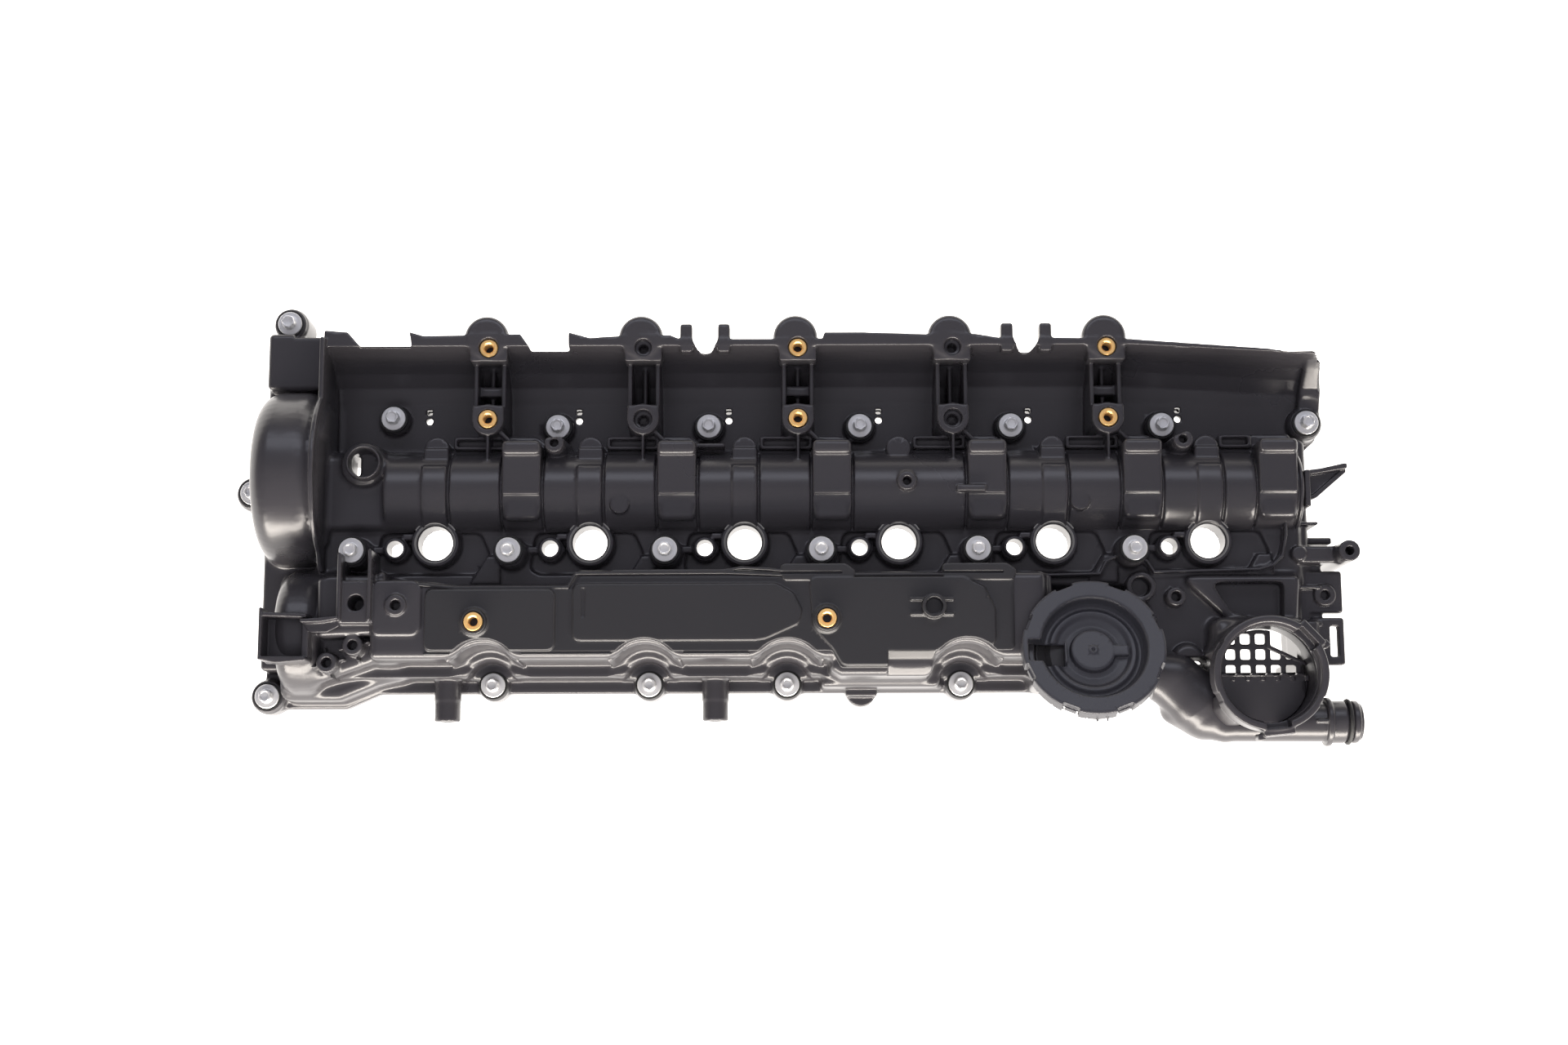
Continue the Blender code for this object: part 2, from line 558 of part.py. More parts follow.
def make_filler_neck(paint):
    low = NECK_SEAT + GAP
    profile = [(NECK_RADIUS - 0.6, NECK_TOP), (NECK_RADIUS, NECK_TOP - 0.8), (NECK_RADIUS, low), (NECK_BORE + 1, low),
               (NECK_BORE + 1, NECK_TOP - 0.6), (NECK_BORE + 1.6, NECK_TOP)]
    neck = turned("filler_neck", parts, profile, place=(*NECK_XY, 0.0), steps=28, closed=True)
    added = group("neck_parts")
    removed = group("neck_cuts")
    for i, angle in enumerate((43.0, 276.0)):
        lug = box("neck_lug_%d" % i, added, (31, 35.0), (-7, 7), (98, 106))
        lug.location = Vector((*NECK_XY, 0.0)) * MM
        lug.rotation_euler = (0.0, 0.0, math.radians(angle))
        slot = box("neck_slot_%d" % i, removed, (25, 30.2), (-6, 6), (101, 112))
        slot.location = lug.location
        slot.rotation_euler = (0.0, 0.0, math.radians(angle + 90))
    combine(neck, "UNION", added)
    combine(neck, "DIFFERENCE", removed)
    return finish(neck, paint)


def make_filler_screen(paint):
    """Splash grid at the bottom of the neck, open towards the deck side and closed over the flange."""
    screen = drum("filler_screen", parts, NECK_XY, NECK_BORE - 0.6, 75.4, 78.4, sides=24)
    removed = group("screen_holes")
    pitch, side = 8.7, 6.0
    for row in range(3):
        y = NECK_XY[1] + 3.0 + pitch * row * 0.9
        for column in range(6):
            offset = pitch * (column - 2.5)
            if math.hypot(abs(offset) + side / 2, y + side - NECK_XY[1]) < NECK_BORE - 1.5:
                x = NECK_XY[0] + offset
                box("screen_hole_%d_%d" % (row, column), removed, (x - side / 2, x + side / 2), (y, y + side), (74, 80))
    combine(screen, "DIFFERENCE", removed)
    return finish(screen, paint)


# ---------------------------------------------------------------- breather pipe

PIPE_END_X = 336.2
PIPE_Y = -119.5
PIPE_Z = 57.0


def smooth_route(points, per_span=5):
    """Catmull-Rom curve through the points."""
    ends = [points[0]] + list(points) + [points[-1]]
    made = []
    for a, b, c, d in zip(ends, ends[1:], ends[2:], ends[3:]):
        a, b, c, d = Vector(a), Vector(b), Vector(c), Vector(d)
        for i in range(per_span):
            t = i / per_span
            made.append(0.5 * (2 * b + (c - a) * t + (2 * a - 5 * b + 4 * c - d) * t * t
                               + (3 * b - a - 3 * c + d) * t ** 3))
    made.append(Vector(points[-1]))
    return made


def make_breather_pipe(paint):
    start = Vector((213.6, -91.5, 57.8))
    bends = [(219, -91.5, 57.8), (231, -102, 57.6), (244, -116.5, 57.2), (258, PIPE_Y, PIPE_Z)]
    route = [start] + smooth_route(bends, 2) + [Vector((312, PIPE_Y, PIPE_Z))]
    pipe = tube("breather_pipe", parts, route, 11.5, resolution=2)
    added = group("pipe_parts")
    tube("pipe_elbow", added, [(215.4, -91.5, 57.8), (222.6, -91.5, 57.8), (233.8, -102.7, 57.4)], 14.2, 2)
    drum("pipe_outlet", added, (PIPE_Y, PIPE_Z), 11.0, 311, PIPE_END_X - 1.5, sides=18, axis="X")
    drum("pipe_outlet_nose", added, (PIPE_Y, PIPE_Z), 11.0, PIPE_END_X - 2.0, PIPE_END_X, top_radius=10.2,
         sides=18, axis="X")
    drum("pipe_collar", added, (PIPE_Y, PIPE_Z), 14.2, 315, 318.5, sides=18, axis="X")
    drum("pipe_ridge", added, (PIPE_Y, PIPE_Z), 12.5, 323.4, 326.0, sides=18, axis="X")
    drum("pipe_lip", added, (PIPE_Y, PIPE_Z), 12.5, 331.2, 333.6, sides=18, axis="X")
    box("pipe_tab", added, (314.5, 319.5), (PIPE_Y - 4, PIPE_Y + 4), (39, 46))
    combine(pipe, "UNION", added)
    removed = group("pipe_cuts")
    tube("pipe_bore", removed, [Vector((210.0, -91.5, 57.8))] + route[1:-1] + [Vector((339, PIPE_Y, PIPE_Z))], 9.0, 2)
    combine(pipe, "DIFFERENCE", removed)
    return finish(pipe, paint)


def make_breather_o_ring(paint):
    section = arc((12.6, 0.0), 1.2, 90, -210, 6)
    made = turned("breather_o_ring", parts, section, place=(328.6, PIPE_Y, PIPE_Z), steps=20, closed=True)
    made.rotation_euler = (0.0, math.pi / 2, 0.0)
    return finish(made, paint)


# ---------------------------------------------------------------- brackets, seals, bolts and inserts

def make_front_cable_bracket(paint):
    """Tray with its mouth to the front and a blade that holds the loom's clip."""
    outline = [(-299, -83.5), (-273, -83.5), (-273, -68), (-254, -68), (-254, -65.4), (-273, -65.4), (-273, -56.5),
               (-299, -56.5), (-299, -59.1), (-275.6, -59.1), (-275.6, -80.9), (-299, -80.9)]
    bracket = slab("front_cable_bracket", parts, [outline], 80.6, 91)
    added = group("tray_floor")
    box("tray_plate", added, (-297, -274), (-82, -58), (80.7, 82.6))
    combine(bracket, "UNION", added)
    return finish(bracket, paint)


def make_rear_bracket(paint):
    """Triangular shelf on a foot plate that stands against the rear wall."""
    outline = [(BODY_X[1] + 0.6, 24), (331, 27.4), (331, 19.0), (313.5, 7.0), (BODY_X[1] + 0.6, 7)]
    bracket = slab("rear_bracket", parts, [outline], 66, 69)
    added = group("rear_bracket_foot")
    box("rear_foot_plate", added, (BODY_X[1] + GAP, BODY_X[1] + 3), (7.4, 23.6), (40, 68.6))
    combine(bracket, "UNION", added)
    return finish(bracket, paint)


def make_perimeter_gasket(paint):
    outer = [(-306, -87), (240, -87), (246, -97), (303, -97), (308, -90), (308, 54), (-268, 54), (-268, 107.5),
             (-306, 107.5)]
    inner = [(-301.5, -82.5), (242.6, -82.5), (248.6, -92.5), (300.8, -92.5), (303.5, -88.5), (303.5, 49.5),
             (-272.5, 49.5), (-272.5, 103), (-301.5, 103)]
    return finish(slab("perimeter_gasket", parts, [outer, inner], SEAL_PLANE - GAP - 3, SEAL_PLANE - GAP), paint)


def make_injector_seals(paint):
    for i, x in enumerate(WELLS):
        low, high = WELL_FOOT - GAP - 3, WELL_FOOT - GAP
        profile = [(13.4, high), (14.0, high - 0.8), (14.0, low), (10.9, low), (10.9, high - 0.8), (11.5, high)]
        seal = turned("injector_seal_%d" % (i + 1), parts, profile, place=(x, WELL_Y, 0.0), steps=16, closed=True)
        finish(seal, paint)


def make_bolts(paint):
    """Flange bolts: washer, cone, lobed head drawn round, shank and tip. They differ only in length."""
    for i, (x, y, seat) in enumerate(BOLTS):
        base = seat + GAP
        profile = [(0, base + 7.6), (3.7, base + 7.6), (3.7, base + 3.0), (WASHER_RADIUS, base + 1.4),
                   (WASHER_RADIUS, base), (BOLT_SHANK, base), (BOLT_SHANK, 0), (0, 0)]
        bolt = turned("bolt_%02d" % (i + 1), parts, profile, place=(x, y, 0.0), steps=10)
        finish(bolt, paint)


def make_inserts(paint):
    for i, (x, y, top) in enumerate(PILLAR_INSERTS + LID_INSERTS):
        low = top - INSERT_LENGTH
        profile = [(INSERT_RADIUS, top), (INSERT_RADIUS, low), (INSERT_BORE, low), (INSERT_BORE, top)]
        insert = turned("insert_%d" % (i + 1), parts, profile, place=(x, y, 0.0), steps=16, closed=True)
        finish(insert, paint)


# ---------------------------------------------------------------- build

shell_paint = material("black_nylon_shell", BLACK_NYLON, 0.42)
make_cover_shell(shell_paint)
make_separator_lid(material("black_nylon_lid", BLACK_NYLON, 0.38))
make_separator_baffle(material("black_nylon_baffle", BLACK_NYLON, 0.5))
make_drain_ball(material("nylon_ball", (0.6, 0.6, 0.56), 0.4))
make_pcv_cap(material("black_nylon_cap", BLACK_NYLON, 0.4))
make_pcv_diaphragm(material("diaphragm_rubber", BLACK_RUBBER, 0.7))
make_pcv_plunger(material("plunger_plastic", (0.5, 0.5, 0.46), 0.5))
make_pcv_spring(material("spring_steel", SPRING_STEEL, 0.35, 1.0))
make_filler_neck(material("black_nylon_neck", BLACK_NYLON, 0.4))
make_filler_screen(material("black_nylon_screen", BLACK_NYLON, 0.45))
make_breather_pipe(material("black_nylon_pipe", BLACK_NYLON, 0.4))
make_breather_o_ring(material("o_ring_rubber", BLACK_RUBBER, 0.6))
make_front_cable_bracket(material("black_nylon_tray", BLACK_NYLON, 0.42))
make_rear_bracket(material("black_nylon_bracket", BLACK_NYLON, 0.42))
make_perimeter_gasket(material("gasket_rubber", BLACK_RUBBER, 0.7))
make_injector_seals(material("seal_rubber", BLACK_RUBBER, 0.7))
make_bolts(material("zinc_plated_steel", ZINC, 0.38, 1.0))
make_inserts(material("brass", BRASS, 0.35, 1.0))
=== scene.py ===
"""Looks of the cylinder head cover: shell, lid, valve cap, neck, pipe, bolts and inserts over the CAD.

Lengths are in millimetres in the CAD's own datum, and SHIFT moves them into the shared frame. Moulded pieces
are distance fields on a grid, joined and cut with rounded edges, then turned into meshes.
"""

import math

import bmesh
import bpy
import numpy as np
from mathutils import Matrix, Vector


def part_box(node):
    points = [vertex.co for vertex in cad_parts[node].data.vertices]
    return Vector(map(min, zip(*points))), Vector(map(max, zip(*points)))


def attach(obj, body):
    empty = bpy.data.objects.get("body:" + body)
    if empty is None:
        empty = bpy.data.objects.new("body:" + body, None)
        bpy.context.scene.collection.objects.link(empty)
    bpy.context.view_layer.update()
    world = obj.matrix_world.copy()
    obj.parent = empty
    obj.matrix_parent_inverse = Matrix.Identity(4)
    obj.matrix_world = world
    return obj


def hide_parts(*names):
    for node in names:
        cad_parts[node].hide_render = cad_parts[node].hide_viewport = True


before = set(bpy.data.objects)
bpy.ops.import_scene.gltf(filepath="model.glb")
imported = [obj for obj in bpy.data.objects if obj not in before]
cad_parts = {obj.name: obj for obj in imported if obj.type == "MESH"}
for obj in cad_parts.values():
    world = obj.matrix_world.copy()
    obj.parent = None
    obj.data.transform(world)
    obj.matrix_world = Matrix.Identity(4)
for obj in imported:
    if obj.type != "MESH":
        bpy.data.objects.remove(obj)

try:
    import openvdb as vdb
except ImportError:
    import pyopenvdb as vdb

MM = 0.001
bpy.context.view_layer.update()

BORE_PITCH = 91.0
WELLS = [-204.6 + BORE_PITCH * i for i in range(6)]
WELL_Y = -13.0
PILLARS = [-174.2 + 91.7 * i for i in range(5)]
CAM_Y, CAM_Z, CAM_RADIUS = 18.0, 50.0, 24.0
NECK_XY = (274.1, -95.2)
PIPE_Y, PIPE_Z = -119.5, 57.0
VALVE_CENTRE = (176.8, -78.5, 97.0)
VALVE_TILT = math.radians(17.0)
CENTRE_BOLTS = [(x - 46.0, -19.5, 77.0) for x in WELLS]
INTAKE_BOLTS = [(-234.6, 66.2, 40.0)] + [(-135.4 + BORE_PITCH * i, 60.8, 40.0) for i in range(5)]
EXHAUST_BOLTS = [(-173.1, -94.3, 30.0), (-79.9, -94.3, 30.0), (2.3, -94.3, 30.0), (105.8, -94.3, 30.0)]
END_BOLTS = [(316.0, 61.8, 40.0), (-307.8, -100.4, 30.0), (-298.9, 125.2, 40.0), (-318.1, 20.9, 40.0)]
BOLTS = CENTRE_BOLTS + INTAKE_BOLTS + EXHAUST_BOLTS + END_BOLTS
PILLAR_INSERTS = [(x, y, 68.3) for y in (60.2, 102.9) for x in PILLARS[::2]]
LID_INSERTS = [(-177.2, -62.8, 92.3), (25.2, -61.4, 92.3)]

low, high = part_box("injector_seal_1")
SHIFT = Vector(((low.x + high.x) / 2 / MM - WELLS[0], (low.y + high.y) / 2 / MM - WELL_Y, 0.0))
VALVE_FRAME = Matrix.Translation(Vector(VALVE_CENTRE)) @ Matrix.Rotation(-VALVE_TILT, 4, "X")
SENSOR_XY = (-247.0, 33.5)
GLOW_OFFSET, GLOW_Y = 23.3, -16.5
DOME = (28, 45)
LOWER_DOME = (-64, 42)
SIDE_POSTS = (-200.0, -40.5)
SIDE_POST_Z = 30
BULGE_POSTS = ((-134.1, 44.6, 75), (72.6, 20.7, 79), (235.2, 45.6, 75))
LEDGE_BOSSES = ((-264.2, -84.2, 74), (-249, -74.3, 76))
REAR_BOSS = (330, -21)
TAB_HOLE = (319.5, -44.5)
THREAD_PITCH = 1.0
REAR_SLANT = 0.055


# ---------------------------------------------------------------- materials

def paint(name, colour, roughness, metallic=0.0, grain=0.0, grain_size=900.0, mottle=0.0):
    """A principled material with a fine procedural grain and a slight unevenness of gloss."""
    made = bpy.data.materials.new(name)
    made.use_nodes = True
    nodes, links = made.node_tree.nodes, made.node_tree.links
    shader = nodes["Principled BSDF"]
    shader.inputs["Base Color"].default_value = (*colour, 1.0)
    shader.inputs["Roughness"].default_value = roughness
    shader.inputs["Metallic"].default_value = metallic
    place = nodes.new("ShaderNodeTexCoord")
    if grain:
        noise = nodes.new("ShaderNodeTexNoise")
        noise.inputs["Scale"].default_value = grain_size
        noise.inputs["Detail"].default_value = 3.0
        bump = nodes.new("ShaderNodeBump")
        bump.inputs["Strength"].default_value = grain
        bump.inputs["Distance"].default_value = 0.0002
        links.new(place.outputs["Object"], noise.inputs["Vector"])
        links.new(noise.outputs["Fac"], bump.inputs["Height"])
        links.new(bump.outputs["Normal"], shader.inputs["Normal"])
    if mottle:
        cloud = nodes.new("ShaderNodeTexNoise")
        cloud.inputs["Scale"].default_value = 14.0
        cloud.inputs["Detail"].default_value = 5.0
        spread = nodes.new("ShaderNodeMapRange")
        spread.inputs["To Min"].default_value = roughness - mottle
        spread.inputs["To Max"].default_value = roughness + mottle
        links.new(place.outputs["Object"], cloud.inputs["Vector"])
        links.new(cloud.outputs["Fac"], spread.inputs["Value"])
        links.new(spread.outputs["Result"], shader.inputs["Roughness"])
    return made


NYLON = paint("satin_black_nylon", (0.027, 0.0255, 0.0285), 0.29, grain=0.12, mottle=0.05)
# Lighter nylon for the wells' rounded edges: a painted highlight for the back light those edges catch.
HIGHLIGHT_NYLON = paint("painted_highlight_nylon", (0.13, 0.127, 0.123), 0.38, grain=0.1)
LID_NYLON = paint("lid_nylon", (0.017, 0.0165, 0.018), 0.38, grain=0.15, mottle=0.04)
CAP_NYLON = paint("cap_nylon", (0.026, 0.026, 0.031), 0.40, grain=0.12, mottle=0.04)
ZINC = paint("dull_zinc_plate", (0.62, 0.62, 0.62), 0.38, metallic=0.65, grain=0.45, grain_size=600.0,
             mottle=0.10)
BRASS = paint("turned_brass", (0.78, 0.49, 0.19), 0.36, metallic=0.6, grain=0.15, mottle=0.08)
RUBBER = paint("seal_rubber", (0.012, 0.012, 0.012), 0.62, grain=0.2)
SLEEVE = paint("sleeve_rubber", (0.009, 0.009, 0.009), 0.55, grain=0.2)
DIAPHRAGM = paint("diaphragm_rubber", (0.016, 0.015, 0.016), 0.55)
ACETAL = paint("natural_acetal", (0.55, 0.54, 0.48), 0.45)
BALL = paint("nylon_ball", (0.62, 0.61, 0.55), 0.32)
SPRING = paint("spring_wire", (0.45, 0.45, 0.46), 0.3, metallic=1.0)


# ---------------------------------------------------------------- distance shapes: low, high, function

def rounded(a, b, edge):
    """Two distances, inside negative, met in a convex edge of that radius."""
    a, b = a + edge, b + edge
    return np.minimum(np.maximum(a, b), 0) + np.hypot(np.maximum(a, 0), np.maximum(b, 0)) - edge


def block(x, y, z, edge=0.8):
    low, high = np.array((x[0], y[0], z[0]), float), np.array((x[1], y[1], z[1]), float)
    middle, half = (low + high) / 2, (high - low) / 2

    def value(X, Y, Z):
        return rounded(rounded(abs(X - middle[0]) - half[0], abs(Y - middle[1]) - half[1], edge),
                       abs(Z - middle[2]) - half[2], edge)

    return low, high, value


def drum(axis, centre, radius, low, high, top=None, edge=0.8):
    """A cylinder or cone along axis 0, 1 or 2; centre holds the two other coordinates."""
    top = radius if top is None else top
    a, b = [i for i in range(3) if i != axis]
    first, last = np.zeros(3), np.zeros(3)
    widest = max(radius, top)
    for i, c in zip((a, b), centre):
        first[i], last[i] = c - widest, c + widest
    first[axis], last[axis] = low, high

    def value(*C):
        t = np.clip((C[axis] - low) / (high - low), 0, 1)
        slope = math.cos(math.atan2(abs(top - radius), high - low))
        side = (np.hypot(C[a] - centre[0], C[b] - centre[1]) - radius - (top - radius) * t) * slope
        return rounded(side, abs(C[axis] - (low + high) / 2) - (high - low) / 2, edge)

    return first, last, value


def soften(outline, radius, count=5):
    """Rounds the corners of a closed outline, no more than its sides allow."""
    made = []
    for before, here, after in zip([outline[-1]] + outline[:-1], outline, outline[1:] + outline[:1]):
        p = np.array(here, float)
        u, v = np.array(before, float) - p, np.array(after, float) - p
        lu, lv = np.hypot(*u), np.hypot(*v)
        u, v = u / lu, v / lv
        turn = math.acos(max(-1.0, min(1.0, float(u @ v))))
        if turn > math.radians(165):
            made.append(tuple(p))
            continue
        reach = min(radius / math.tan(turn / 2), lu * 0.48, lv * 0.48)
        for i in range(count):
            t = i / (count - 1)
            made.append(tuple(p + u * reach * (1 - t) ** 2 + v * reach * t ** 2))
    return made


def flat_distance(outline, A, B):
    """Distance in the plane to a closed outline, negative inside."""
    near = np.full(np.broadcast(A, B).shape, 1e9, np.float32)
    inside = np.zeros(near.shape, bool)
    for (x0, y0), (x1, y1) in zip(outline, outline[1:] + outline[:1]):
        dx, dy = x1 - x0, y1 - y0
        t = np.clip(((A - x0) * dx + (B - y0) * dy) / max(dx * dx + dy * dy, 1e-9), 0, 1)
        near = np.minimum(near, (A - x0 - t * dx) ** 2 + (B - y0 - t * dy) ** 2)
        if y0 != y1:
            inside ^= ((y0 > B) != (y1 > B)) & (A < (B - y0) * dx / dy + x0)
    return np.where(inside, -np.sqrt(near), np.sqrt(near))


def prism(plane, outline, low, high, edge=0.8, soft=0.0):
    """An outline drawn in XY, or in YZ, given thickness."""
    points = soften(list(outline), soft) if soft else list(outline)
    flat = np.array(points, float)
    if plane == "XY":
        first, last = (*flat.min(0), low), (*flat.max(0), high)
    else:
        first, last = (low, *flat.min(0)), (high, *flat.max(0))

    def value(X, Y, Z):
        if plane == "XY":
            return rounded(flat_distance(points, X, Y), abs(Z - (low + high) / 2) - (high - low) / 2, edge)
        return rounded(flat_distance(points, Y, Z), abs(X - (low + high) / 2) - (high - low) / 2, edge)

    return np.array(first, float), np.array(last, float), value


def rod(a, b, radius, end_radius=None):
    a, b = np.array(a, float), np.array(b, float)
    end_radius = radius if end_radius is None else end_radius
    wide = max(radius, end_radius)

    def value(X, Y, Z):
        d = b - a
        t = np.clip(((X - a[0]) * d[0] + (Y - a[1]) * d[1] + (Z - a[2]) * d[2]) / float(d @ d), 0, 1)
        gap = np.sqrt((X - a[0] - t * d[0]) ** 2 + (Y - a[1] - t * d[1]) ** 2 + (Z - a[2] - t * d[2]) ** 2)
        return gap - radius - (end_radius - radius) * t

    return np.minimum(a, b) - wide, np.maximum(a, b) + wide, value


def lathe(centre, outline):
    """A closed outline of (radius, height) turned round a vertical axis."""
    flat = np.array(outline, float)
    widest = flat[:, 0].max()

    def value(X, Y, Z):
        return flat_distance(outline, np.hypot(X - centre[0], Y - centre[1]), Z)

    return (np.array((centre[0] - widest, centre[1] - widest, flat[:, 1].min())),
            np.array((centre[0] + widest, centre[1] + widest, flat[:, 1].max())), value)


def turned_by(shape, centre, degrees):
    """A shape turned about a vertical axis through centre."""
    c, s = math.cos(math.radians(degrees)), math.sin(math.radians(degrees))
    reach = max(np.hypot(*(np.array(corner[:2]) - centre)) for corner in
                (shape[0], shape[1], (shape[0][0], shape[1][1]), (shape[1][0], shape[0][1])))

    def value(X, Y, Z):
        dx, dy = X - centre[0], Y - centre[1]
        return shape[2](centre[0] + c * dx + s * dy, centre[1] - s * dx + c * dy, Z)

    return (np.array((centre[0] - reach, centre[1] - reach, shape[0][2])),
            np.array((centre[0] + reach, centre[1] + reach, shape[1][2])), value)


def leaned(shape, reach, home=VALVE_FRAME):
    """A shape given in the valve's own frame. reach is its box in the cover's frame."""
    back = np.array(home.inverted())

    def value(X, Y, Z):
        return shape[2](*[back[i][0] * X + back[i][1] * Y + back[i][2] * Z + back[i][3] for i in range(3)])

    return np.array(reach[0], float), np.array(reach[1], float), value


def arc(centre, radius, start, end, count=9):
    angles = [math.radians(start + (end - start) * i / (count - 1)) for i in range(count)]
    return [(centre[0] + radius * math.cos(a), centre[1] + radius * math.sin(a)) for a in angles]


class Field:
    """A grid of distances that shapes are joined to and cut from."""

    def __init__(self, low, high, step):
        self.low, self.step = np.array(low, float), step
        self.axes = [np.arange(l, h + step, step, dtype=np.float32) for l, h in zip(low, high)]
        self.grid = np.full([len(a) for a in self.axes], 12.0, np.float32)

    def _part(self, shape, blend):
        pad = 3 * self.step + blend
        part = []
        for axis, l, h in zip(self.axes, shape[0], shape[1]):
            part.append(slice(int(np.searchsorted(axis, l - pad)),
                              int(np.searchsorted(axis, h + pad, "right"))))
        if any(s.start >= s.stop for s in part):
            return None, None
        places = np.ix_(*[axis[s] for axis, s in zip(self.axes, part)])
        return tuple(part), shape[2](*places)

    def add(self, shape, blend=0.0):
        part, other = self._part(shape, blend)
        if part:
            here = self.grid[part]
            soft = np.maximum(blend - abs(here - other), 0) ** 2 / (4 * blend) if blend else 0.0
            self.grid[part] = np.minimum(here, other) - soft

    def cut(self, shape, blend=0.0):
        part, other = self._part(shape, blend)
        if part:
            here, other = self.grid[part], -other
            soft = np.maximum(blend - abs(here - other), 0) ** 2 / (4 * blend) if blend else 0.0
            self.grid[part] = np.maximum(here, other) + soft

    def mesh(self, adaptivity=0.02):
        """Points in millimetres, faces and the field's own normals."""
        volume = vdb.FloatGrid(3 * self.step)
        volume.copyFromArray(np.clip(self.grid, -3 * self.step, 3 * self.step))
        points, triangles, quads = volume.convertToPolygons(isovalue=0.0, adaptivity=adaptivity)
        slope = []
        corner = np.clip(np.floor(points).astype(int), 1, np.array(self.grid.shape) - 3)
        share = points - corner
        g = self.grid
        for axis in range(3):
            total = 0.0
            for offset in np.ndindex(2, 2, 2):
                at = corner + offset
                ahead, behind = at.copy(), at.copy()
                ahead[:, axis] += 1
                behind[:, axis] -= 1
                weight = np.prod([share[:, i] if o else 1 - share[:, i] for i, o in enumerate(offset)],
                                 axis=0)
                total = total + weight * (g[tuple(ahead.T)] - g[tuple(behind.T)])
            slope.append(total)
        normals = np.stack(slope, 1)
        normals /= np.maximum(np.linalg.norm(normals, axis=1, keepdims=True), 1e-9)
        return points * self.step + self.low, triangles, quads, normals


def show(name, mesh, material, nodes=(), body="cover", place=None):
    """Links a mesh piece, in place and riding on its body."""
    made = bpy.data.objects.new(name, mesh)
    bpy.context.scene.collection.objects.link(made)
    if place is not None:
        made.matrix_world = place
    mesh.materials.clear()
    mesh.materials.append(material)
    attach(made, body)
    if nodes:
        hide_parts(*nodes)
    return made


def field_piece(name, field, material, nodes=(), adaptivity=0.02, cuts=(), body="cover", home=None):
    """Meshes a field, in one piece or in several that meet at the cuts in X. home is the field's frame."""
    points, triangles, quads, normals = field.mesh(adaptivity)
    if home is not None:
        turn = np.array(home)
        points, normals = points @ turn[:3, :3].T + turn[:3, 3], normals @ turn[:3, :3].T
    faces = [quads, triangles]
    middles = [points[f, 0].mean(1) for f in faces]
    edges = [-1e9, *cuts, 1e9]
    for i, (start, end) in enumerate(zip(edges, edges[1:])):
        chosen = [f[(m >= start) & (m < end)] for f, m in zip(faces, middles)]
        used, flat = np.unique(np.concatenate([c.ravel() for c in chosen]), return_inverse=True)
        count = chosen[0].size
        parts = [flat[:count].reshape(-1, 4)[:, ::-1], flat[count:].reshape(-1, 3)[:, ::-1]]
        mesh = bpy.data.meshes.new(name)
        places = (points[used] + np.array(SHIFT)) * MM
        mesh.vertices.add(len(used))
        mesh.vertices.foreach_set("co", places.astype(np.float32).ravel())
        corners = np.concatenate([p.ravel() for p in parts])
        mesh.loops.add(len(corners))
        mesh.loops.foreach_set("vertex_index", corners.astype(np.int32))
        sizes = np.concatenate([np.full(len(p), p.shape[1]) for p in parts])
        mesh.polygons.add(len(sizes))
        mesh.polygons.foreach_set("loop_start", (np.cumsum(sizes) - sizes).astype(np.int32))
        mesh.polygons.foreach_set("loop_total", sizes.astype(np.int32))
        mesh.update(calc_edges=True)
        mesh.validate()
        mesh.shade_smooth()
        facing = np.zeros(len(mesh.polygons) * 3, np.float32)
        mesh.polygons.foreach_get("normal", facing)
        first = np.zeros(len(mesh.polygons), np.int32)
        mesh.polygons.foreach_get("loop_start", first)
        index = np.zeros(len(mesh.loops), np.int32)
        mesh.loops.foreach_get("vertex_index", index)
        side = (facing.reshape(-1, 3) * normals[used][index[first]]).sum(1)
        if np.mean(side) < 0:
            mesh.flip_normals()
        mesh.normals_split_custom_set_from_vertices(normals[used].tolist())
        label = name if len(edges) == 2 else "%s_%d" % (name, i + 1)
        show(label, mesh, material, nodes, body)


# ---------------------------------------------------------------- crisp meshes

def turned(profile, steps=48, lobes=None):
    """A profile of (radius, height) turned round Z. lobes(radius, height, angle) may bend the radius."""
    shape = bmesh.new()
    rings = []
    for radius, height in profile:
        if radius < 1e-6:
            rings.append([shape.verts.new((0, 0, height))])
            continue
        ring = []
        for i in range(steps):
            angle = 2 * math.pi * i / steps
            r = lobes(radius, height, angle) if lobes else radius
            ring.append(shape.verts.new((r * math.cos(angle), r * math.sin(angle), height)))
        rings.append(ring)
    for a, b in zip(rings, rings[1:]):
        for i in range(steps):
            corners = [a[i % len(a)], a[(i + 1) % len(a)], b[(i + 1) % len(b)], b[i % len(b)]]
            unique = [c for k, c in enumerate(corners) if c not in corners[:k]]
            if len(unique) > 2:
                shape.faces.new(unique)
    bmesh.ops.recalc_face_normals(shape, faces=shape.faces)
    return shape


def to_mesh(name, shape, sharp=32.0):
    bmesh.ops.scale(shape, vec=(MM,) * 3, verts=shape.verts)
    mesh = bpy.data.meshes.new(name)
    shape.to_mesh(mesh)
    shape.free()
    mesh.shade_smooth()
    mesh.set_sharp_from_angle(angle=math.radians(sharp))
    return mesh


def weld(shape):
    """Joins points that fall together, such as a closed profile's ends, and turns the faces outwards."""
    bmesh.ops.remove_doubles(shape, verts=shape.verts, dist=1e-4)
    bmesh.ops.recalc_face_normals(shape, faces=shape.faces)


def at(x, y, z=0.0, turn=0.0):
    """A place in the shared frame for a piece whose mesh is already in metres."""
    return Matrix.Translation((Vector((x, y, z)) + SHIFT) * MM) @ Matrix.Rotation(turn, 4, "Z")


# ---------------------------------------------------------------- the moulded shell

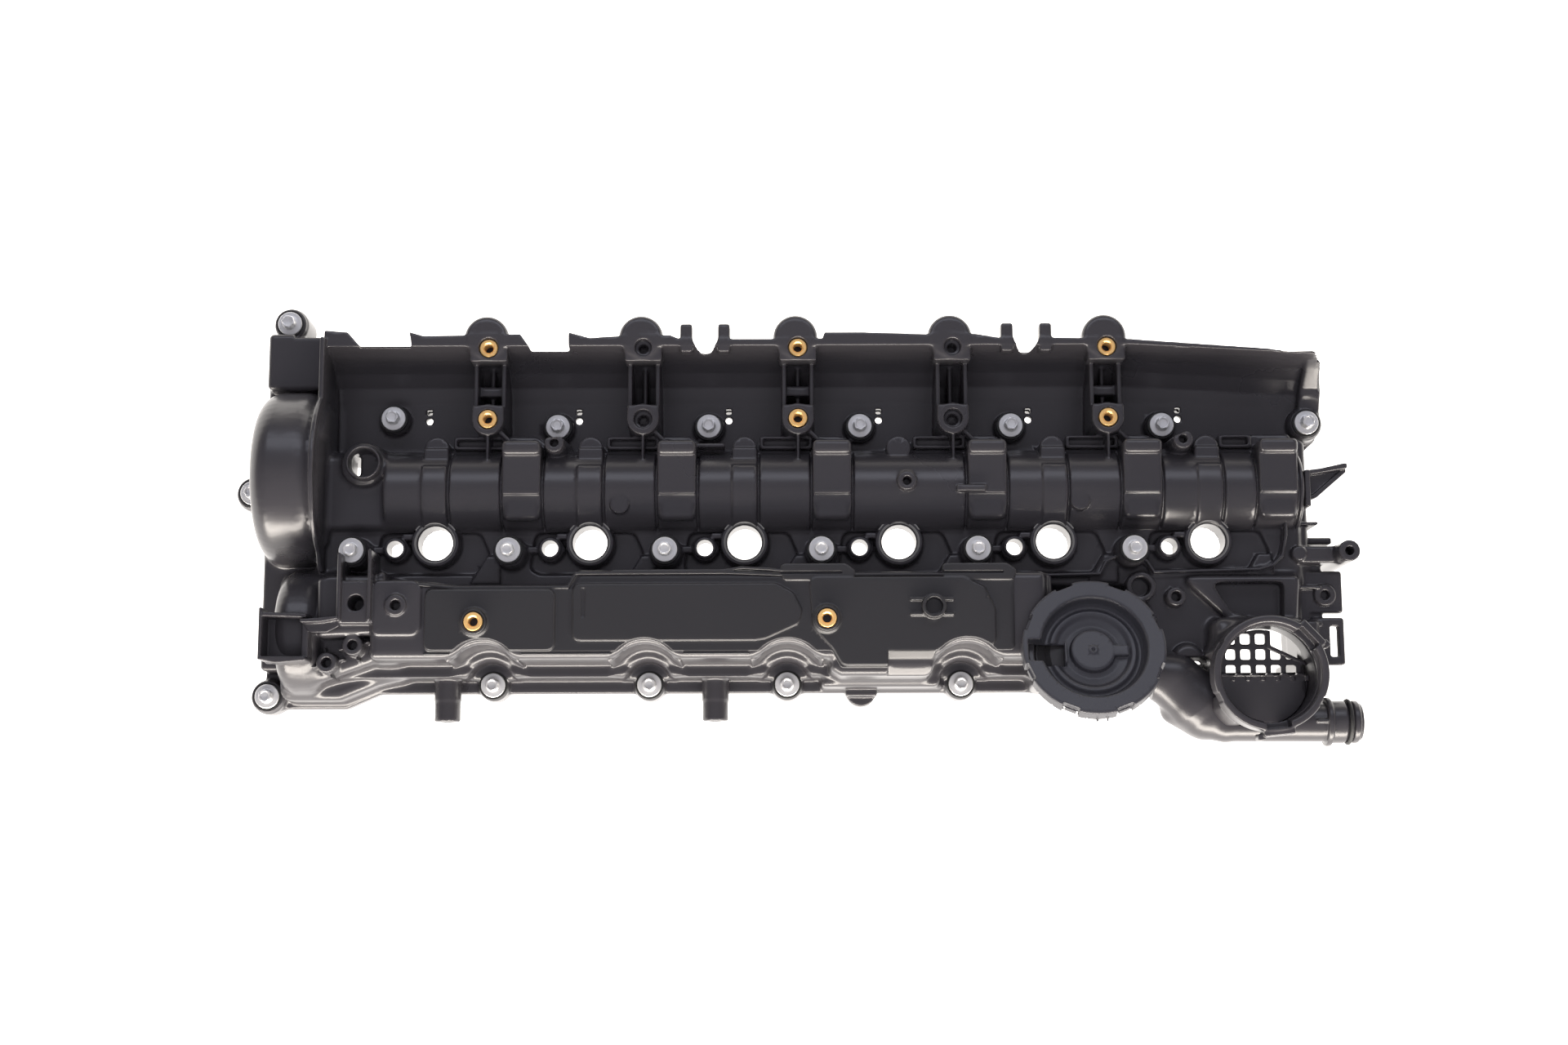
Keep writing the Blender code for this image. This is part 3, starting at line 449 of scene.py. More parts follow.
FLANGE = [(-311, -107.4), (-262, -107.4), (-242, -98.7), (238, -98.7), (246, -109), (303, -109), (312, -98),
          (324.5, -89.5), (317.5, 20), (317.5, 47), (326, 55), (326, 64), (320, 71), (300, 76), (-262, 76),
          (-262, 117.5), (-311, 117.5)]

# The intake shield's edge seen from above, front to rear.
EDGE = [(-296, 40), (-296, 114), (-272, 114), (-258, 112.8), (-250.5, 104.2), (-220, 104.2), (-221.5, 112.9),
        (-213, 110.4), (-155.5, 111.3), (-149.5, 102.7), (-126.8, 102.7), (-127, 112.4), (-114.4, 108.9),
        (-98, 109.9), (-66.4, 110.4), (-61, 108.1), (-2.4, 107.9), (24, 108.3), (25, 111.8), (48.5, 111.8),
        (90.6, 110.4), (114.5, 110.7), (129.8, 108.1), (160, 108.3), (206, 107.2), (287, 101.2), (301, 99.2),
        (314.8, 99.5), (321.8, 94.8), (325, 70.8), (330, 66), (330, 40)]

# The separator tub under the lid, seen from above.
TUB = [(-238, -38.5), (-224, -36.5), (-187, -40), (-124, -40), (-119, -32), (-33, -31.5), (5, -33),
       (152, -33.5), (152, -83.5), (-238, -83.5)]

# The slanting facet on the exhaust side of the tub and the lid, seen along X.
BULGE_FACET = [(-79, 92), (-79, 87.5), (-101, 70), (-112, 70), (-112, 92)]

# The raised rim of the rear deck, seen from above.
DECK_RIM = [(133, -33.5), (186, -32.5), (190, -25), (198, -21), (206, -21), (214, -25), (218, -31.5),
            (280, -30), (288, -27.5), (293.5, -22), (296, -10), (297, 40)]


def saddle_start(i):
    """X where the bearing saddle after a well begins."""
    return WELLS[i] + (40.2 if i < 5 else 28.6)


def outer_body(f):
    """The outside of everything that is hollow below."""
    f.add(prism("XY", FLANGE, 12, 22, 1.5, 6))
    bulge = arc((CAM_Y, CAM_Z), CAM_RADIUS, 165, 18, 25)
    f.add(prism("YZ", [(-91, 12.3), (-91, 47), (-40, 47), (-38, 55), (-8, 55), *bulge, (43, 54), (48, 12.3)],
                -276, 306, 3.0), 2)
    f.add(prism("XY", TUB, 30, 84.5, 5.0, 4), 2.5)
    f.add(prism("XY", [(27, -60), (27, -90), (33, -93.5), (85, -93.5), (91, -90), (91, -60)], 22, 81, 5, 4),
          3)
    f.add(prism("XY", [(27, -60), (22, -97), (96, -97), (91, -60)], 14, 46, 4, 3), 3)
    # Timing end: chamber, sprocket dome, lower dome and what stands between them and the tub.
    f.add(block((-310.6, -269.6), (-86, 117), (12.4, 40), 3), 2)
    f.add(block((-309, -272), (82, 116.5), (30, 52), 3), 2)
    f.add(prism("YZ", arc(DOME, 52, -20, 200, 41), -309.5, -271, 13), 4)
    f.add(prism("YZ", [(-8, 40), *arc(DOME, 47, 160, 20, 25), (70, 40)], -284, -268, 5), 3)
    f.add(prism("YZ", arc(LOWER_DOME, 37, -20, 200, 31), -296, -270, 10), 5)
    f.add(prism("XY", [(-298, -30), (-298, -104), (-262, -104), (-240, -95), (-222, -91), (-222, -36),
                       (-262, -26)], 14, 44, 5, 8), 4)
    f.add(prism("XY", [(-285, -34), (-285, -94), (-268, -94), (-240, -84), (-222, -84), (-222, -36),
                       (-262, -30)], 30, 62, 6, 9), 5)
    f.add(prism("XY", [(-270, -70), (-270, -36), (-262, -31), (-230, -31), (-230, -68)], 50, 78, 4, 4), 2)
    f.add(prism("YZ", [(-30, 20), (-30, 62), *arc(DOME, 53.5, 152, 35, 19), (108.5, 76), (108.5, 20)],
                -273.2, -270.2, 1.0), 1.5)
    # Camshaft bulge: a band with a half-round boss at each well, then a bearing saddle.
    for i, x in enumerate(WELLS):
        start = saddle_start(i)
        if i != 3:
            f.add(prism("YZ", [(-8, 40), *arc((CAM_Y, CAM_Z), CAM_RADIUS + 1.4, 160, 58, 17), (32, 66),
                               (43, 66), (43, 40)], x - 7.2, x + 7.5, 1.2), 1)
        f.add(drum(2, (x + 0.2, 43), 7.4, 30, 63.5, edge=1.5), 0.8)
        f.add(block((start, start + 22.7), (36.8, 45.5), (40, 79), 3.0), 1)
        f.add(block((start, start + 22.7), (13.6, 40), (40, 75.5), 1.5), 1)
        f.add(block((start, start + 22.7), (-1.0, 11.8), (40, 73), 4.5), 1.5)
        grooves = ((start - 1.6, start), (start + 22.7, start + 24.3), (x + 7.6, x + 9.2))
        for low, high in grooves[:2] if i == 3 else grooves:
            f.cut(prism("YZ", arc((CAM_Y, CAM_Z), CAM_RADIUS + 5, 168, 15, 15)
                        + arc((CAM_Y, CAM_Z), CAM_RADIUS - 2.0, 15, 168, 15), low, high, 0.3), 0.8)
        f.add(block((x + 9, start), (44, 51.5), (30, 57), 1.2), 1)
        f.cut(block((x + 11, start - 2), (45.6, 50), (50, 60), 0.8), 0.4)
        f.add(block((start, start + 24), (44, 53), (30, 52), 2), 1)
    # Valve housing, its foot, and the neck with its foot.
    f.add(leaned(drum(2, (0, 0), 24, -38, -9.4, top=37.6, edge=1), ((130, -132, 46), (224, -28, 110))), 3)
    f.add(block((146, 214), (-100.5, -48), (21, 70), 6), 6)
    f.add(block((128, 156), (-82, -34), (40, 77), 3), 3)
    f.add(block((206, 304), (-96, -32), (21, 58), 4), 4)
    f.add(drum(2, NECK_XY, 32.5, 60, 96, edge=0.8), 3)
    f.add(block((248.5, 302), (-102, -60), (20, 80), 6), 5)
    f.add(prism("XY", [(232, -34), (262, -62), (300, -68), (303, -34)], 50, 66, 3, 4), 3)
    f.add(block((296, 312), (-70, 50), (14, 52), 4), 4)


def deck_pockets(f):
    """Recesses of the deck round the wells, before the columns are put in."""
    for i, x in enumerate(WELLS):
        right = x + 24 if i < 5 else x + 30
        f.cut(prism("XY", [(x - 33, -6), (x - 36, -28), (x - 30, -31), (right, -31), (right + 8, -20),
                           (right + 2, -6)], 50.5, 70, 2, 6), 1.5)
    f.cut(block((-269.6, -234.5), (-34, 49), (62, 92), 4), 3)


def hollow(f):
    """The space that opens downwards over the valve gear and the chain."""
    inner = [(-84, 5), (-84, 30), (-84, 42), (-44, 42), (-38, 47), (-10, 47)]
    inner += arc((CAM_Y, CAM_Z), CAM_RADIUS - 3.2, 172, 8, 15) + [(39.4, 48), (43.5, 26), (44.5, 5)]
    f.cut(prism("YZ", inner, -230, 302, 2), 1.5)
    f.cut(block((-267, -226), (-84, 41), (5, 47), 2), 1.5)
    f.cut(block((-299, -275.5), (-81, 102), (5, 31), 2), 1.5)
    f.cut(prism("YZ", [(-18.5, 26), *arc(DOME, 46.5, 180, 0, 21), (74.5, 26)], -303, -276, 9), 1.5)
    f.cut(prism("YZ", [(-80, 26), *arc(LOWER_DOME, 32, 180, 0, 15), (-34, 26)], -291, -276, 5), 1.5)
    f.cut(drum(0, (CAM_Y, 42), 14, -279, -263), 1)
    f.cut(block((-255, 296), (65, 72.5), (5, 26), 1.5), 1)
    f.cut(block((252, 298), (-91.5, -64), (5, 78), 2), 1)
    f.cut(block((-234, 128), (-76, -46), (50, 81), 3), 1)


def columns(f):
    """Well towers, bolt columns, pillars, the shield, posts and bosses."""
    for x in WELLS:
        f.add(drum(2, (x, WELL_Y), 14.2, 44, 54, edge=1), 2)
        f.add(drum(2, (x, WELL_Y), 13.9, 44, 62, edge=0.9), 1.5)
        f.add(drum(2, (x - GLOW_OFFSET, GLOW_Y), 7.4, 50, 60, edge=1), 2)
        f.add(drum(2, (x - GLOW_OFFSET, GLOW_Y), 6.3, 50, 64, edge=0.8), 1)
        f.add(block((x - 44, x - 15), (-18.5, -14.5), (44, 58), 1), 1)
        f.add(block((x - 20, x), (-10.5, -7), (44, 60), 1.2), 1)
        f.add(prism("XY", [(x + 20, -37), (x + 30, -20), (x + 38, -20), (x + 38, -37)], 44, 57.5, 1.5, 1),
              1.5)
    for i, (x, y, seat) in enumerate(BOLTS):
        radius = 9.6 if i >= len(BOLTS) - len(END_BOLTS) else 8.4
        f.add(drum(2, (x, y), radius + 0.8, 12.2, seat - 3, edge=1), 2.5)
        f.add(drum(2, (x, y), radius, 12.2, seat, edge=1.2), 1)
    for x, y, _ in EXHAUST_BOLTS:
        f.add(prism("XY", [*arc((x, y), 16.4, 10, 170, 25)], 13, 46, 1), 1)
        f.add(prism("XY", [*arc((x, y), 23.5, 22, 158, 25)], 40, 80, 1), 1)
    # The trough on the intake side and the shield that rises from it.
    shield = [(66, 29), (76, 30.5), (86, 34.5), (93.5, 42), (98.5, 51), (101.8, 60), (104, 70), (118, 70),
              (118, 66.5), (107.4, 66.5), (104.8, 58), (101, 48.5), (95.5, 38.5), (87.5, 31), (77, 27),
              (68, 25)]
    f.add(prism("YZ", shield, -272, 208, 0.5), 1.5)
    low, high, level = prism("YZ", shield, 206, 322, 0.5)
    f.add((low - np.array((0, 8, 0)), high, lambda X, Y, Z: level(X, Y + REAR_SLANT * (X - 206), Z)), 1.5)
    f.add(prism("XY", [(-271, 44), (305, 44), (319, 58), (323, 75), (-271, 75)], 25, 30, 0.8), 2)
    f.add(prism("YZ", [(70, 24), (88, 31), (101, 46), (106, 66), (110, 69.8), (104, 69.8), (96, 60),
                       (82, 44), (60, 34)], 312, 325, 2), 2)
    cut_outside(f, EDGE, (-290, 84, 46), (338, 134, 84))
    for i, x in enumerate(PILLARS):
        f.add(drum(2, (x, 60.0), 9.4, 24, 68, edge=0.8), 1)
        f.add(block((x - 9.4, x + 9.4), (60, 68.5), (40, 68), 0.8), 0.8)
        f.add(drum(2, (x - 1.4, 109.3), 13.1, 55.4, 70.3, edge=3.5), 1.5)
        f.add(block((x - 11, x + 11), (95, 106), (52, 68.3), 1), 1.5)
        for dx in (-8.2, 0, 8.2):
            f.add(block((x + dx - 1.2, x + dx + 1.2), (56, 106), (27, 60 if dx else 46), 0.5), 1)
        if i % 2 == 0:
            f.add(block((x - 9, x + 9), (77, 83), (28, 52), 0.6), 1)
        f.add(block((x - 0.8, x + 0.8), (30, 54), (50, 67), 0.4), 0.6)
        f.add(prism("XY", [(x + 6, 56), (x + 15, 47), (x + 13.4, 45.4), (x + 4.4, 54)], 40, 63, 0.4), 0.6)
    for x in (-60.6, -38.4, 129.8, 152.6):
        f.add(block((x, x + 7.4), (100, 117.2), (60, 70), 1.5), 1.5)
    # Posts, bosses and the small pedestals along the bulge.
    f.add(block((101.7, 118.9), (14.6, 18.4), (70, 78), 0.5), 0.6)
    f.add(block((-52.3, -34.2), (43.4, 45.6), (52, 66), 0.5), 0.6)
    f.add(drum(2, SENSOR_XY, 14.5, 50, 68, top=13.0, edge=2.5), 3)
    f.add(drum(2, (SENSOR_XY[0] + 1, SENSOR_XY[1]), 10.8, 60, 75, top=10.0, edge=1.2), 1.5)
    for x, y, top in BULGE_POSTS:
        f.add(drum(2, (x, y), 8.5, 40, top - 6, top=6.2, edge=1), 2)
        f.add(drum(2, (x, y), 5.7, 40, top, edge=0.9), 0.8)
    for x, y, top in ((-95.5, 8.1, 73.6), (174.1, 9.5, 73.6)):
        f.add(drum(2, (x, y), 5.6, 60, top, edge=0.8), 0.6)
    for x in SIDE_POSTS:
        f.add(drum(1, (x, SIDE_POST_Z), 8.0, -104, -80, edge=0.8), 2)
        f.add(drum(1, (x, SIDE_POST_Z), 7.7, -116, -86, edge=0.8), 0.6)
    f.add(drum(2, (46.5, -98), 9, 12.3, 23, edge=1), 1)
    f.add(block((37, 56), (-101.5, -92), (15, 30), 1.5), 1)
    f.add(drum(2, REAR_BOSS, 6.3, 24, 75, edge=1), 1)
    f.add(block((303, 330), (-26, -16), (20, 60), 1.5), 2)
    f.add(block((303, 327), (-13, -9), (20, 46), 1), 1.5)
    # Front corner: bosses on the ledge, the loom's plate, and ribs.
    for x, y, top in LEDGE_BOSSES:
        f.add(drum(2, (x, y), 5.9, 40, top, edge=0.7), 1.5)
        for turn in (15, 105, 195, 285):
            dx, dy = 9.5 * math.cos(math.radians(turn)), 9.5 * math.sin(math.radians(turn))
            f.add(prism("XY", [(x + dx - dy * 0.06, y + dy + dx * 0.06), (x - dy * 0.06, y + dx * 0.06),
                               (x + dy * 0.06, y - dx * 0.06), (x + dx + dy * 0.06, y + dy - dx * 0.06)],
                        44, top - 5, 0.3), 0.5)
    f.add(block((-256, -236.5), (-63, -38), (70, 86), 1), 1)
    f.add(block((-256, -253.8), (-62, -22), (60, 90), 0.6), 1)
    f.add(block((-238.6, -236.5), (-62, -20), (60, 90), 0.6), 1)
    f.add(prism("XY", [(-236, -70), (-236, -38), (-212, -38), (-208, -42), (-208, -66), (-212, -70)],
                70, 86.2, 1.5, 4), 1)
    f.add(drum(2, (-222.6, -52.6), 6.2, 80, 88.4, edge=0.7), 0.6)
    # Rear deck: rim round the wells, bosses by the valve, ribs and clips on the end wall.
    for a, b in zip(DECK_RIM, DECK_RIM[1:]):
        f.add(rod((*a, 52), (*b, 52), 1.6), 2)
        f.add(rod((*a, 57), (*b, 57), 1.3), 2)
    f.add(drum(2, (209.5, -40.5), 8.6, 50, 66, edge=1), 1)
    f.add(drum(2, (229.5, -46.6), 5.6, 50, 68, edge=0.8), 1)
    f.add(drum(2, (216, -60), 2.4, 50, 66, edge=0.8), 1)
    f.add(drum(2, (303.8, -20.6), 4.4, 40, 62, edge=1), 1)
    f.add(drum(2, (236, -83), 9.2, 50, 66, edge=4), 2)
    for y in (-62, -40, -2):
        f.add(block((300, 317), (y - 1, y + 1), (18, 56), 0.5), 1)
    f.add(block((303, 319), (-86, -24), (28, 50), 2), 2)
    f.add(block((309, 330.5), (-55, -30), (44, 52), 1.5), 1)
    f.add(drum(2, TAB_HOLE, 6.4, 46, 55, edge=0.8), 1)
    f.add(block((311, 330), (-86, -58), (48, 55), 1.5), 1)
    f.add(block((300, 314), (-84, -60), (30, 58), 2), 2)


def add_bead(f, points, level, radius, blend=0.0):
    """A round bead laid along points in one horizontal plane."""
    for a, b in zip(points, points[1:]):
        f.add(rod((*a, level), (*b, level), radius), blend)


def make_well_arcs():
    """Edges on the intake side of each well's collar, where it runs into the bulge, painted lighter as a
    highlight.
    """
    f = Field((-222, -6, 58), (268, 4, 65), 0.45)
    for i, x in enumerate(WELLS):
        for start, end in ((30, 150),) if i == 3 else ((34, 58), (122, 146)):
            add_bead(f, arc((x, WELL_Y), 13.8, start, end, 9), 62, 0.55)
    field_piece("well_arcs", f, HIGHLIGHT_NYLON, (), 0.01)


def make_deck_rim():
    f = Field((130, -37, 54), (301, 45, 65), 0.45)
    for a, b in zip(DECK_RIM, DECK_RIM[1:]):
        for z in (57.5, 59, 60.5, 62):
            f.add(rod((*a, z), (*b, z), 0.9), 0.3)
    field_piece("deck_rim", f, NYLON, (), 0.01)


def cut_outside(f, outline, low, high):
    """Takes away what lies outside an outline seen from above, within a box."""
    f.cut((np.array(low, float), np.array(high, float),
           lambda X, Y, Z: np.broadcast_to(-flat_distance(outline, X, Y), np.broadcast(X, Y, Z).shape)), 0.8)


def openings(f):
    """Bores, bays and pockets cut last."""
    for x in WELLS:
        f.cut(drum(2, (x, WELL_Y), 10.15, 0, 80, edge=0))
        f.cut(drum(2, (x, WELL_Y), 11.4, 61.0, 66, edge=0))
        f.cut(drum(2, (x - GLOW_OFFSET, GLOW_Y), 4.8, 0, 80, edge=0), 0.4)
        f.cut(drum(2, (x - 10, 66.6), 2.1, 15, 40, edge=0))
        f.cut(block((x - 11.7, x - 8.3), (70.2, 73.6), (5, 40), 0.5))
    for x, y, seat in BOLTS:
        f.cut(drum(2, (x, y), 3.9, 0, 110, edge=0))
        f.cut(drum(2, (x, y), 5.0, seat - 2.0, 110, edge=0))
    for x, y, _ in EXHAUST_BOLTS:
        f.cut(drum(2, (x, y), 13.0, 30.1, 46.5, edge=1.5), 5)
        f.cut(drum(2, (x, y), 19.5, 46, 95, edge=3), 6)
    for x, y, seat in INTAKE_BOLTS + END_BOLTS[:1]:
        f.cut(drum(2, (x, y + 1), 13.5, seat + 0.2, 95, edge=1.5), 3)
    for x, y, top in PILLAR_INSERTS:
        f.cut(drum(2, (x, y), 5.8, top - 10.5, top + 5, edge=0.2))
    for x in PILLARS[1::2]:
        f.cut(drum(2, (x, 60.2), 5.4, 62, 75, edge=0.6), 0.6)
        f.cut(drum(2, (x, 60.2), 3.2, 55, 75, edge=0))
        f.cut(drum(2, (x, 102.9), 5.0, 66, 75, edge=0.5), 0.5)
        f.cut(drum(2, (x, 102.9), 2.8, 57, 75, edge=0))
    for x in SIDE_POSTS:
        f.cut(drum(1, (x, SIDE_POST_Z), 2.9, -120, -100, edge=0), 0.5)
    f.cut(drum(2, REAR_BOSS, 2.6, 62, 80, edge=0), 0.5)
    f.cut(drum(2, (SENSOR_XY[0] + 1, SENSOR_XY[1]), 7.6, 60, 76, top=9.0, edge=0), 0.8)
    f.cut(block((SENSOR_XY[0] - 7.0, SENSOR_XY[0] - 3.0), (SENSOR_XY[1] - 6, SENSOR_XY[1] + 6), (30, 66),
                1.8), 0.8)
    for x, y, top in BULGE_POSTS:
        f.cut(drum(2, (x, y), 2.5, top - 9, top + 2, edge=0), 0.5)
    for x, y, top in (*LEDGE_BOSSES, (-222.6, -52.6, 88.4), (229.5, -46.6, 68)):
        f.cut(drum(2, (x, y), 2.9, top - 9, top + 2, edge=0), 0.5)
    f.cut(drum(2, (209.5, -40.5), 5.6, 56, 70, edge=1), 0.8)
    f.cut(drum(2, (-245.8, -51), 4.6, 66, 92, edge=0), 0.4)
    for x in (-45.8, 144.9):
        f.cut(prism("XY", [(x - 7.4, 122), (x - 7.4, 109), *arc((x, 109), 7.4, 180, 360, 17), (x + 7.4, 122)],
                    50, 90, 0.5), 0.8)
    f.cut(prism("YZ", BULGE_FACET, 60, 92, 0), 0.8)
    f.cut(block((214.5, 247.5), (-114, -82), (42, 100), 3), 2)
    f.cut(leaned(drum(2, (0, 0), 33.2, -16.4, 8, edge=0.5), ((136, -120, 60), (218, -36, 112))))
    f.cut(leaned(drum(2, (0, 0), 17, -30, -15, top=31, edge=0.5), ((136, -120, 50), (218, -36, 112))))
    f.cut(drum(0, (-91.5, 57.8), 9, 186, 218, edge=0))
    f.cut(drum(2, NECK_XY, 28, 70, 100, edge=0), 0.6)
    f.cut(prism("XY", [(250, -38), (262, -56), (292, -62), (293, -38)], 56, 72, 1, 4), 1)
    f.cut(drum(2, TAB_HOLE, 2.8, 49, 60, edge=0))
    f.cut(block((321.5, 326.5), (-81, -63), (40, 62), 0.8), 0.6)


def make_shell():
    f = Field((-329, -122, 9.5), (342, 141, 113), 0.85)
    outer_body(f)
    deck_pockets(f)
    hollow(f)
    columns(f)
    openings(f)
    field_piece("moulded_shell", f, NYLON, ("cover_shell",), 0.02,
                cuts=(-215, -105, 5, 115, 225))


# ---------------------------------------------------------------- lid, valve cap, neck, pipe, brackets

def make_lid():
    f = Field((-242, -96, 80), (156, -28, 96), 0.6)
    plate = [(-206, -43), (-187, -43.5), (-122, -43.5), (-117, -36), (-33, -36), (5, -37), (133, -37),
             (133, -79.5), (88, -79.5), (85, -89.5), (33, -89.5), (28, -79.5), (-206, -79.5)]
    f.add(prism("XY", plate, 82.5, 85.6, 0.5, 3))
    f.add(prism("XY", [(-206, -43.5), (-131, -43.5), (-131, -79), (-206, -79)], 83, 87.2, 0.8, 5), 0.5)
    f.add(prism("XY", [(-121, -40.5), (-4, -40.5), (6, -46), (11, -56), (9, -64), (-10, -72.5), (-16, -73.5),
                       (-121, -73.5)], 83, 86.9, 0.8, 5), 0.5)
    f.cut(prism("XY", [(-116, -43), (-113.8, -43), (-113.8, -60), (-116, -60)], 86.3, 90, 0.3, 0.8))
    f.add(prism("XY", [(15, -37), (104, -37), (116, -43), (122, -56), (122, -74), (118, -78.5), (88, -78.5),
                       (84, -88), (34, -88), (29, -79), (17, -66)], 83, 87.2, 0.8, 5), 0.5)
    f.cut(prism("YZ", BULGE_FACET, 60, 92, 0), 0.5)
    for x, y, _ in EXHAUST_BOLTS:
        f.cut(drum(2, (x, y), 22.3, 80, 95, edge=0), 0.6)
    for x, y, top in LID_INSERTS:
        f.add(drum(2, (x, y), 9.0, 84, 88.5, top=8.2, edge=0.8), 1)
        f.add(drum(2, (x, y), 7.4, 84, top - 0.4, edge=0.7), 0.6)
        f.cut(drum(2, (x, y), 5.7, top - 10.4, top + 3, edge=0))
    f.add(drum(2, (86.5, -54.6), 6.9, 84, 93.2, edge=0.7), 0.8)
    for dy in (-4.2, 4.2):
        f.add(block((73, 98), (-54.6 + dy - 0.7, -54.6 + dy + 0.7), (84, 89.2), 0.4), 0.6)
    f.cut(drum(2, (86.5, -54.6), 4.9, 87, 96, edge=0.5), 0.4)
    # Weld beads and the snap channels along the deck side.
    for line in ([(-224, -39.4), (-190, -42.4), (-124, -42.4), (-119.6, -34.4), (-34, -34.2), (4, -35.6),
                  (132, -35.4)], [(-98, -33.2), (-34, -33.0), (-24, -31.4), (-8, -32.2), (6, -34)]):
        add_bead(f, line, 85.3, 0.9, 0.5)
    for x in (24, 117):
        f.add(prism("XY", [(x - 26, -29), (x + 12, -29), (x + 18, -33), (x + 16, -39), (x - 24, -39)], 82,
                    86.6, 1, 3), 0.6)
        f.cut(prism("XY", [(x - 30, -33.8), (x + 10, -33.8), (x + 10, -35), (x - 30, -35)], 85, 90, 0.3,
                    0.5), 0.3)
    for start, end in ((-206, -192), (-150, -99), (-57, -20)):
        add_bead(f, [(start, -80.6), (end, -80.6)], 84.6, 0.8, 0.4)
    field_piece("separator_lid_moulding", f, LID_NYLON, ("separator_lid",), 0.01)


def make_cap():
    f = Field((-46, -46, -19), (46, 46, 4), 0.5)
    bowl = [(0, -5.7), (11.4, -5.7), (12.6, -6.3), (13.0, -9.4), (16, -10.0), (20.4, -9.2), (22.4, -7.3),
            (24.4, -7.0), (26.0, -8.6), (27.6, -8.8), (29.0, -6.4), (30.2, -1.4), (31.2, -0.2), (39.8, 0),
            (40.8, -0.5), (41, -1.4), (41, -9.6), (38.9, -9.6), (38.9, -9.0), (33.4, -9.0), (33.0, -10.6),
            (0, -11.6)]
    f.add(lathe((0, 0), bowl))
    f.add(block((11, 20.5), (-3.2, 3.2), (-9.5, -5.9), 0.6), 0.5)
    f.add(drum(2, (0, 0), 2.6, -8, -5.2, edge=0.4), 0.5)
    f.cut(drum(2, (0, 0), 0.9, -6.4, -4, edge=0), 0.4)
    f.cut(block((-37.5, -15.5), (-8.5, 4.5), (-14, 2), 0.8), 0.5)
    f.add(block((-16.6, -15.2), (-8.5, 4.5), (-10, -4), 0.4), 0.3)
    for i in range(8):
        angle = 45 * i + 22.5
        f.cut(turned_by(block((37.8, 44), (-4.6, 4.6), (-8.6, -4.4), 0.4), (0, 0), angle), 0.3)
        f.cut(turned_by(block((39.0, 44), (-5.0, 5.0), (-9.5, 2), 0.3), (0, 0), angle), 0.2)
        f.add(turned_by(block((37.6, 40.2), (-3.4, 3.4), (-8.2, -4), 0.4), (0, 0), angle), 0.3)
    for angle in (-98, -90, -82):
        c, s = math.cos(math.radians(angle)), math.sin(math.radians(angle))
        f.add(rod((40 * c, 40 * s, -8.8), (42.2 * c, 42.2 * s, -9.2), 0.8, 0.5), 0.4)
    for i in range(24):
        f.cut(turned_by(block((40.4, 42), (-0.35, 0.35), (-10, -5), 0), (0, 0), 15 * i + 7), 0.2)
    field_piece("pcv_snap_cap", f, CAP_NYLON, ("pcv_cap",), 0.01, home=VALVE_FRAME)


def on_neck(out, across, heights, edge, angle):
    """A block on the neck's wall, measured from the neck's axis and turned round it."""
    x, y = NECK_XY
    return turned_by(block((x + out[0], x + out[1]), (y + across[0], y + across[1]), heights, edge), NECK_XY,
                     angle)


def make_neck():
    f = Field((234, -137, 93), (315, -55, 112), 0.6)
    f.add(lathe(NECK_XY, [(31.4, 110), (32.2, 109.7), (32.6, 109), (32.6, 96.3), (28.2, 96.3), (28.2, 100),
                          (27.0, 101), (27.0, 104), (28.0, 105), (28.4, 109.2), (29.2, 110)]))
    for angle in (43, 276):
        f.add(on_neck((30, 35.2), (-9, 9), (98, 109), 1.2, angle), 1.2)
        f.cut(on_neck((26, 31), (-7, 7), (101, 114), 0.6, angle), 0.6)
        f.add(on_neck((33, 36.8), (-12, -7.5), (97, 106), 0.8, angle), 0.8)
    for angle in (150, 205, 330):
        f.cut(on_neck((31.8, 34), (-3, 3), (95, 112), 0.3, angle), 0.4)
    field_piece("filler_neck_ring", f, NYLON, ("filler_neck",), 0.01)


def make_screen():
    f = Field((245, -125, 72), (304, -66, 94), 0.45)
    x0, y0 = NECK_XY
    f.add(drum(2, NECK_XY, 27.6, 75.4, 78.4, edge=0.3))
    f.add(block((x0 - 25.5, x0 + 25.5), (y0 - 27, y0 + 0.6), (76, 80), 0.6), 0.6)
    f.add(block((x0 - 25, x0 + 26), (y0 + 0.6, y0 + 2.2), (75.5, 81.6), 0.4), 0.5)
    for column in range(7):
        f.add(block((x0 - 24.4 + 8.55 * column - 1.3, x0 - 24.4 + 8.55 * column + 1.3), (y0 - 2, y0 + 3.4),
                    (75.6, 80.6), 0.4), 0.4)
    for y in (-91.0, -81.9, -73.0):
        for column in range(6):
            x = 257.6 + 8.65 * column
            if math.hypot(x - x0, y - y0) > 29:
                continue
            f.cut(prism("XY", [(x - 2.9, y - 3.0), (x + 2.9, y - 3.0), (x + 2.9, y + 3.0),
                               (x - 2.9, y + 3.0)], 73, 82, 0, 1.3))
    f.cut(prism("XY", [(280.6, -60), (280.6, -77.5), (284, -78.6), (299, -86), (304, -80), (300, -60)], 73,
                82, 0, 3))
    f.add(prism("XY", [(278.2, -66), (280.8, -66), (280.8, -76.8), (301, -86.6), (301, -88.6), (278.2, -78)],
                75.4, 79.0, 0.3, 0.8))
    beyond = (np.array((245, -125, 72.0)), np.array((304, -66, 94.0)),
              lambda X, Y, Z: np.broadcast_to(27.7 - np.hypot(X - x0, Y - y0), np.broadcast(X, Y, Z).shape))
    f.cut(beyond)
    field_piece("filler_grid", f, NYLON, ("filler_screen",), 0.01)


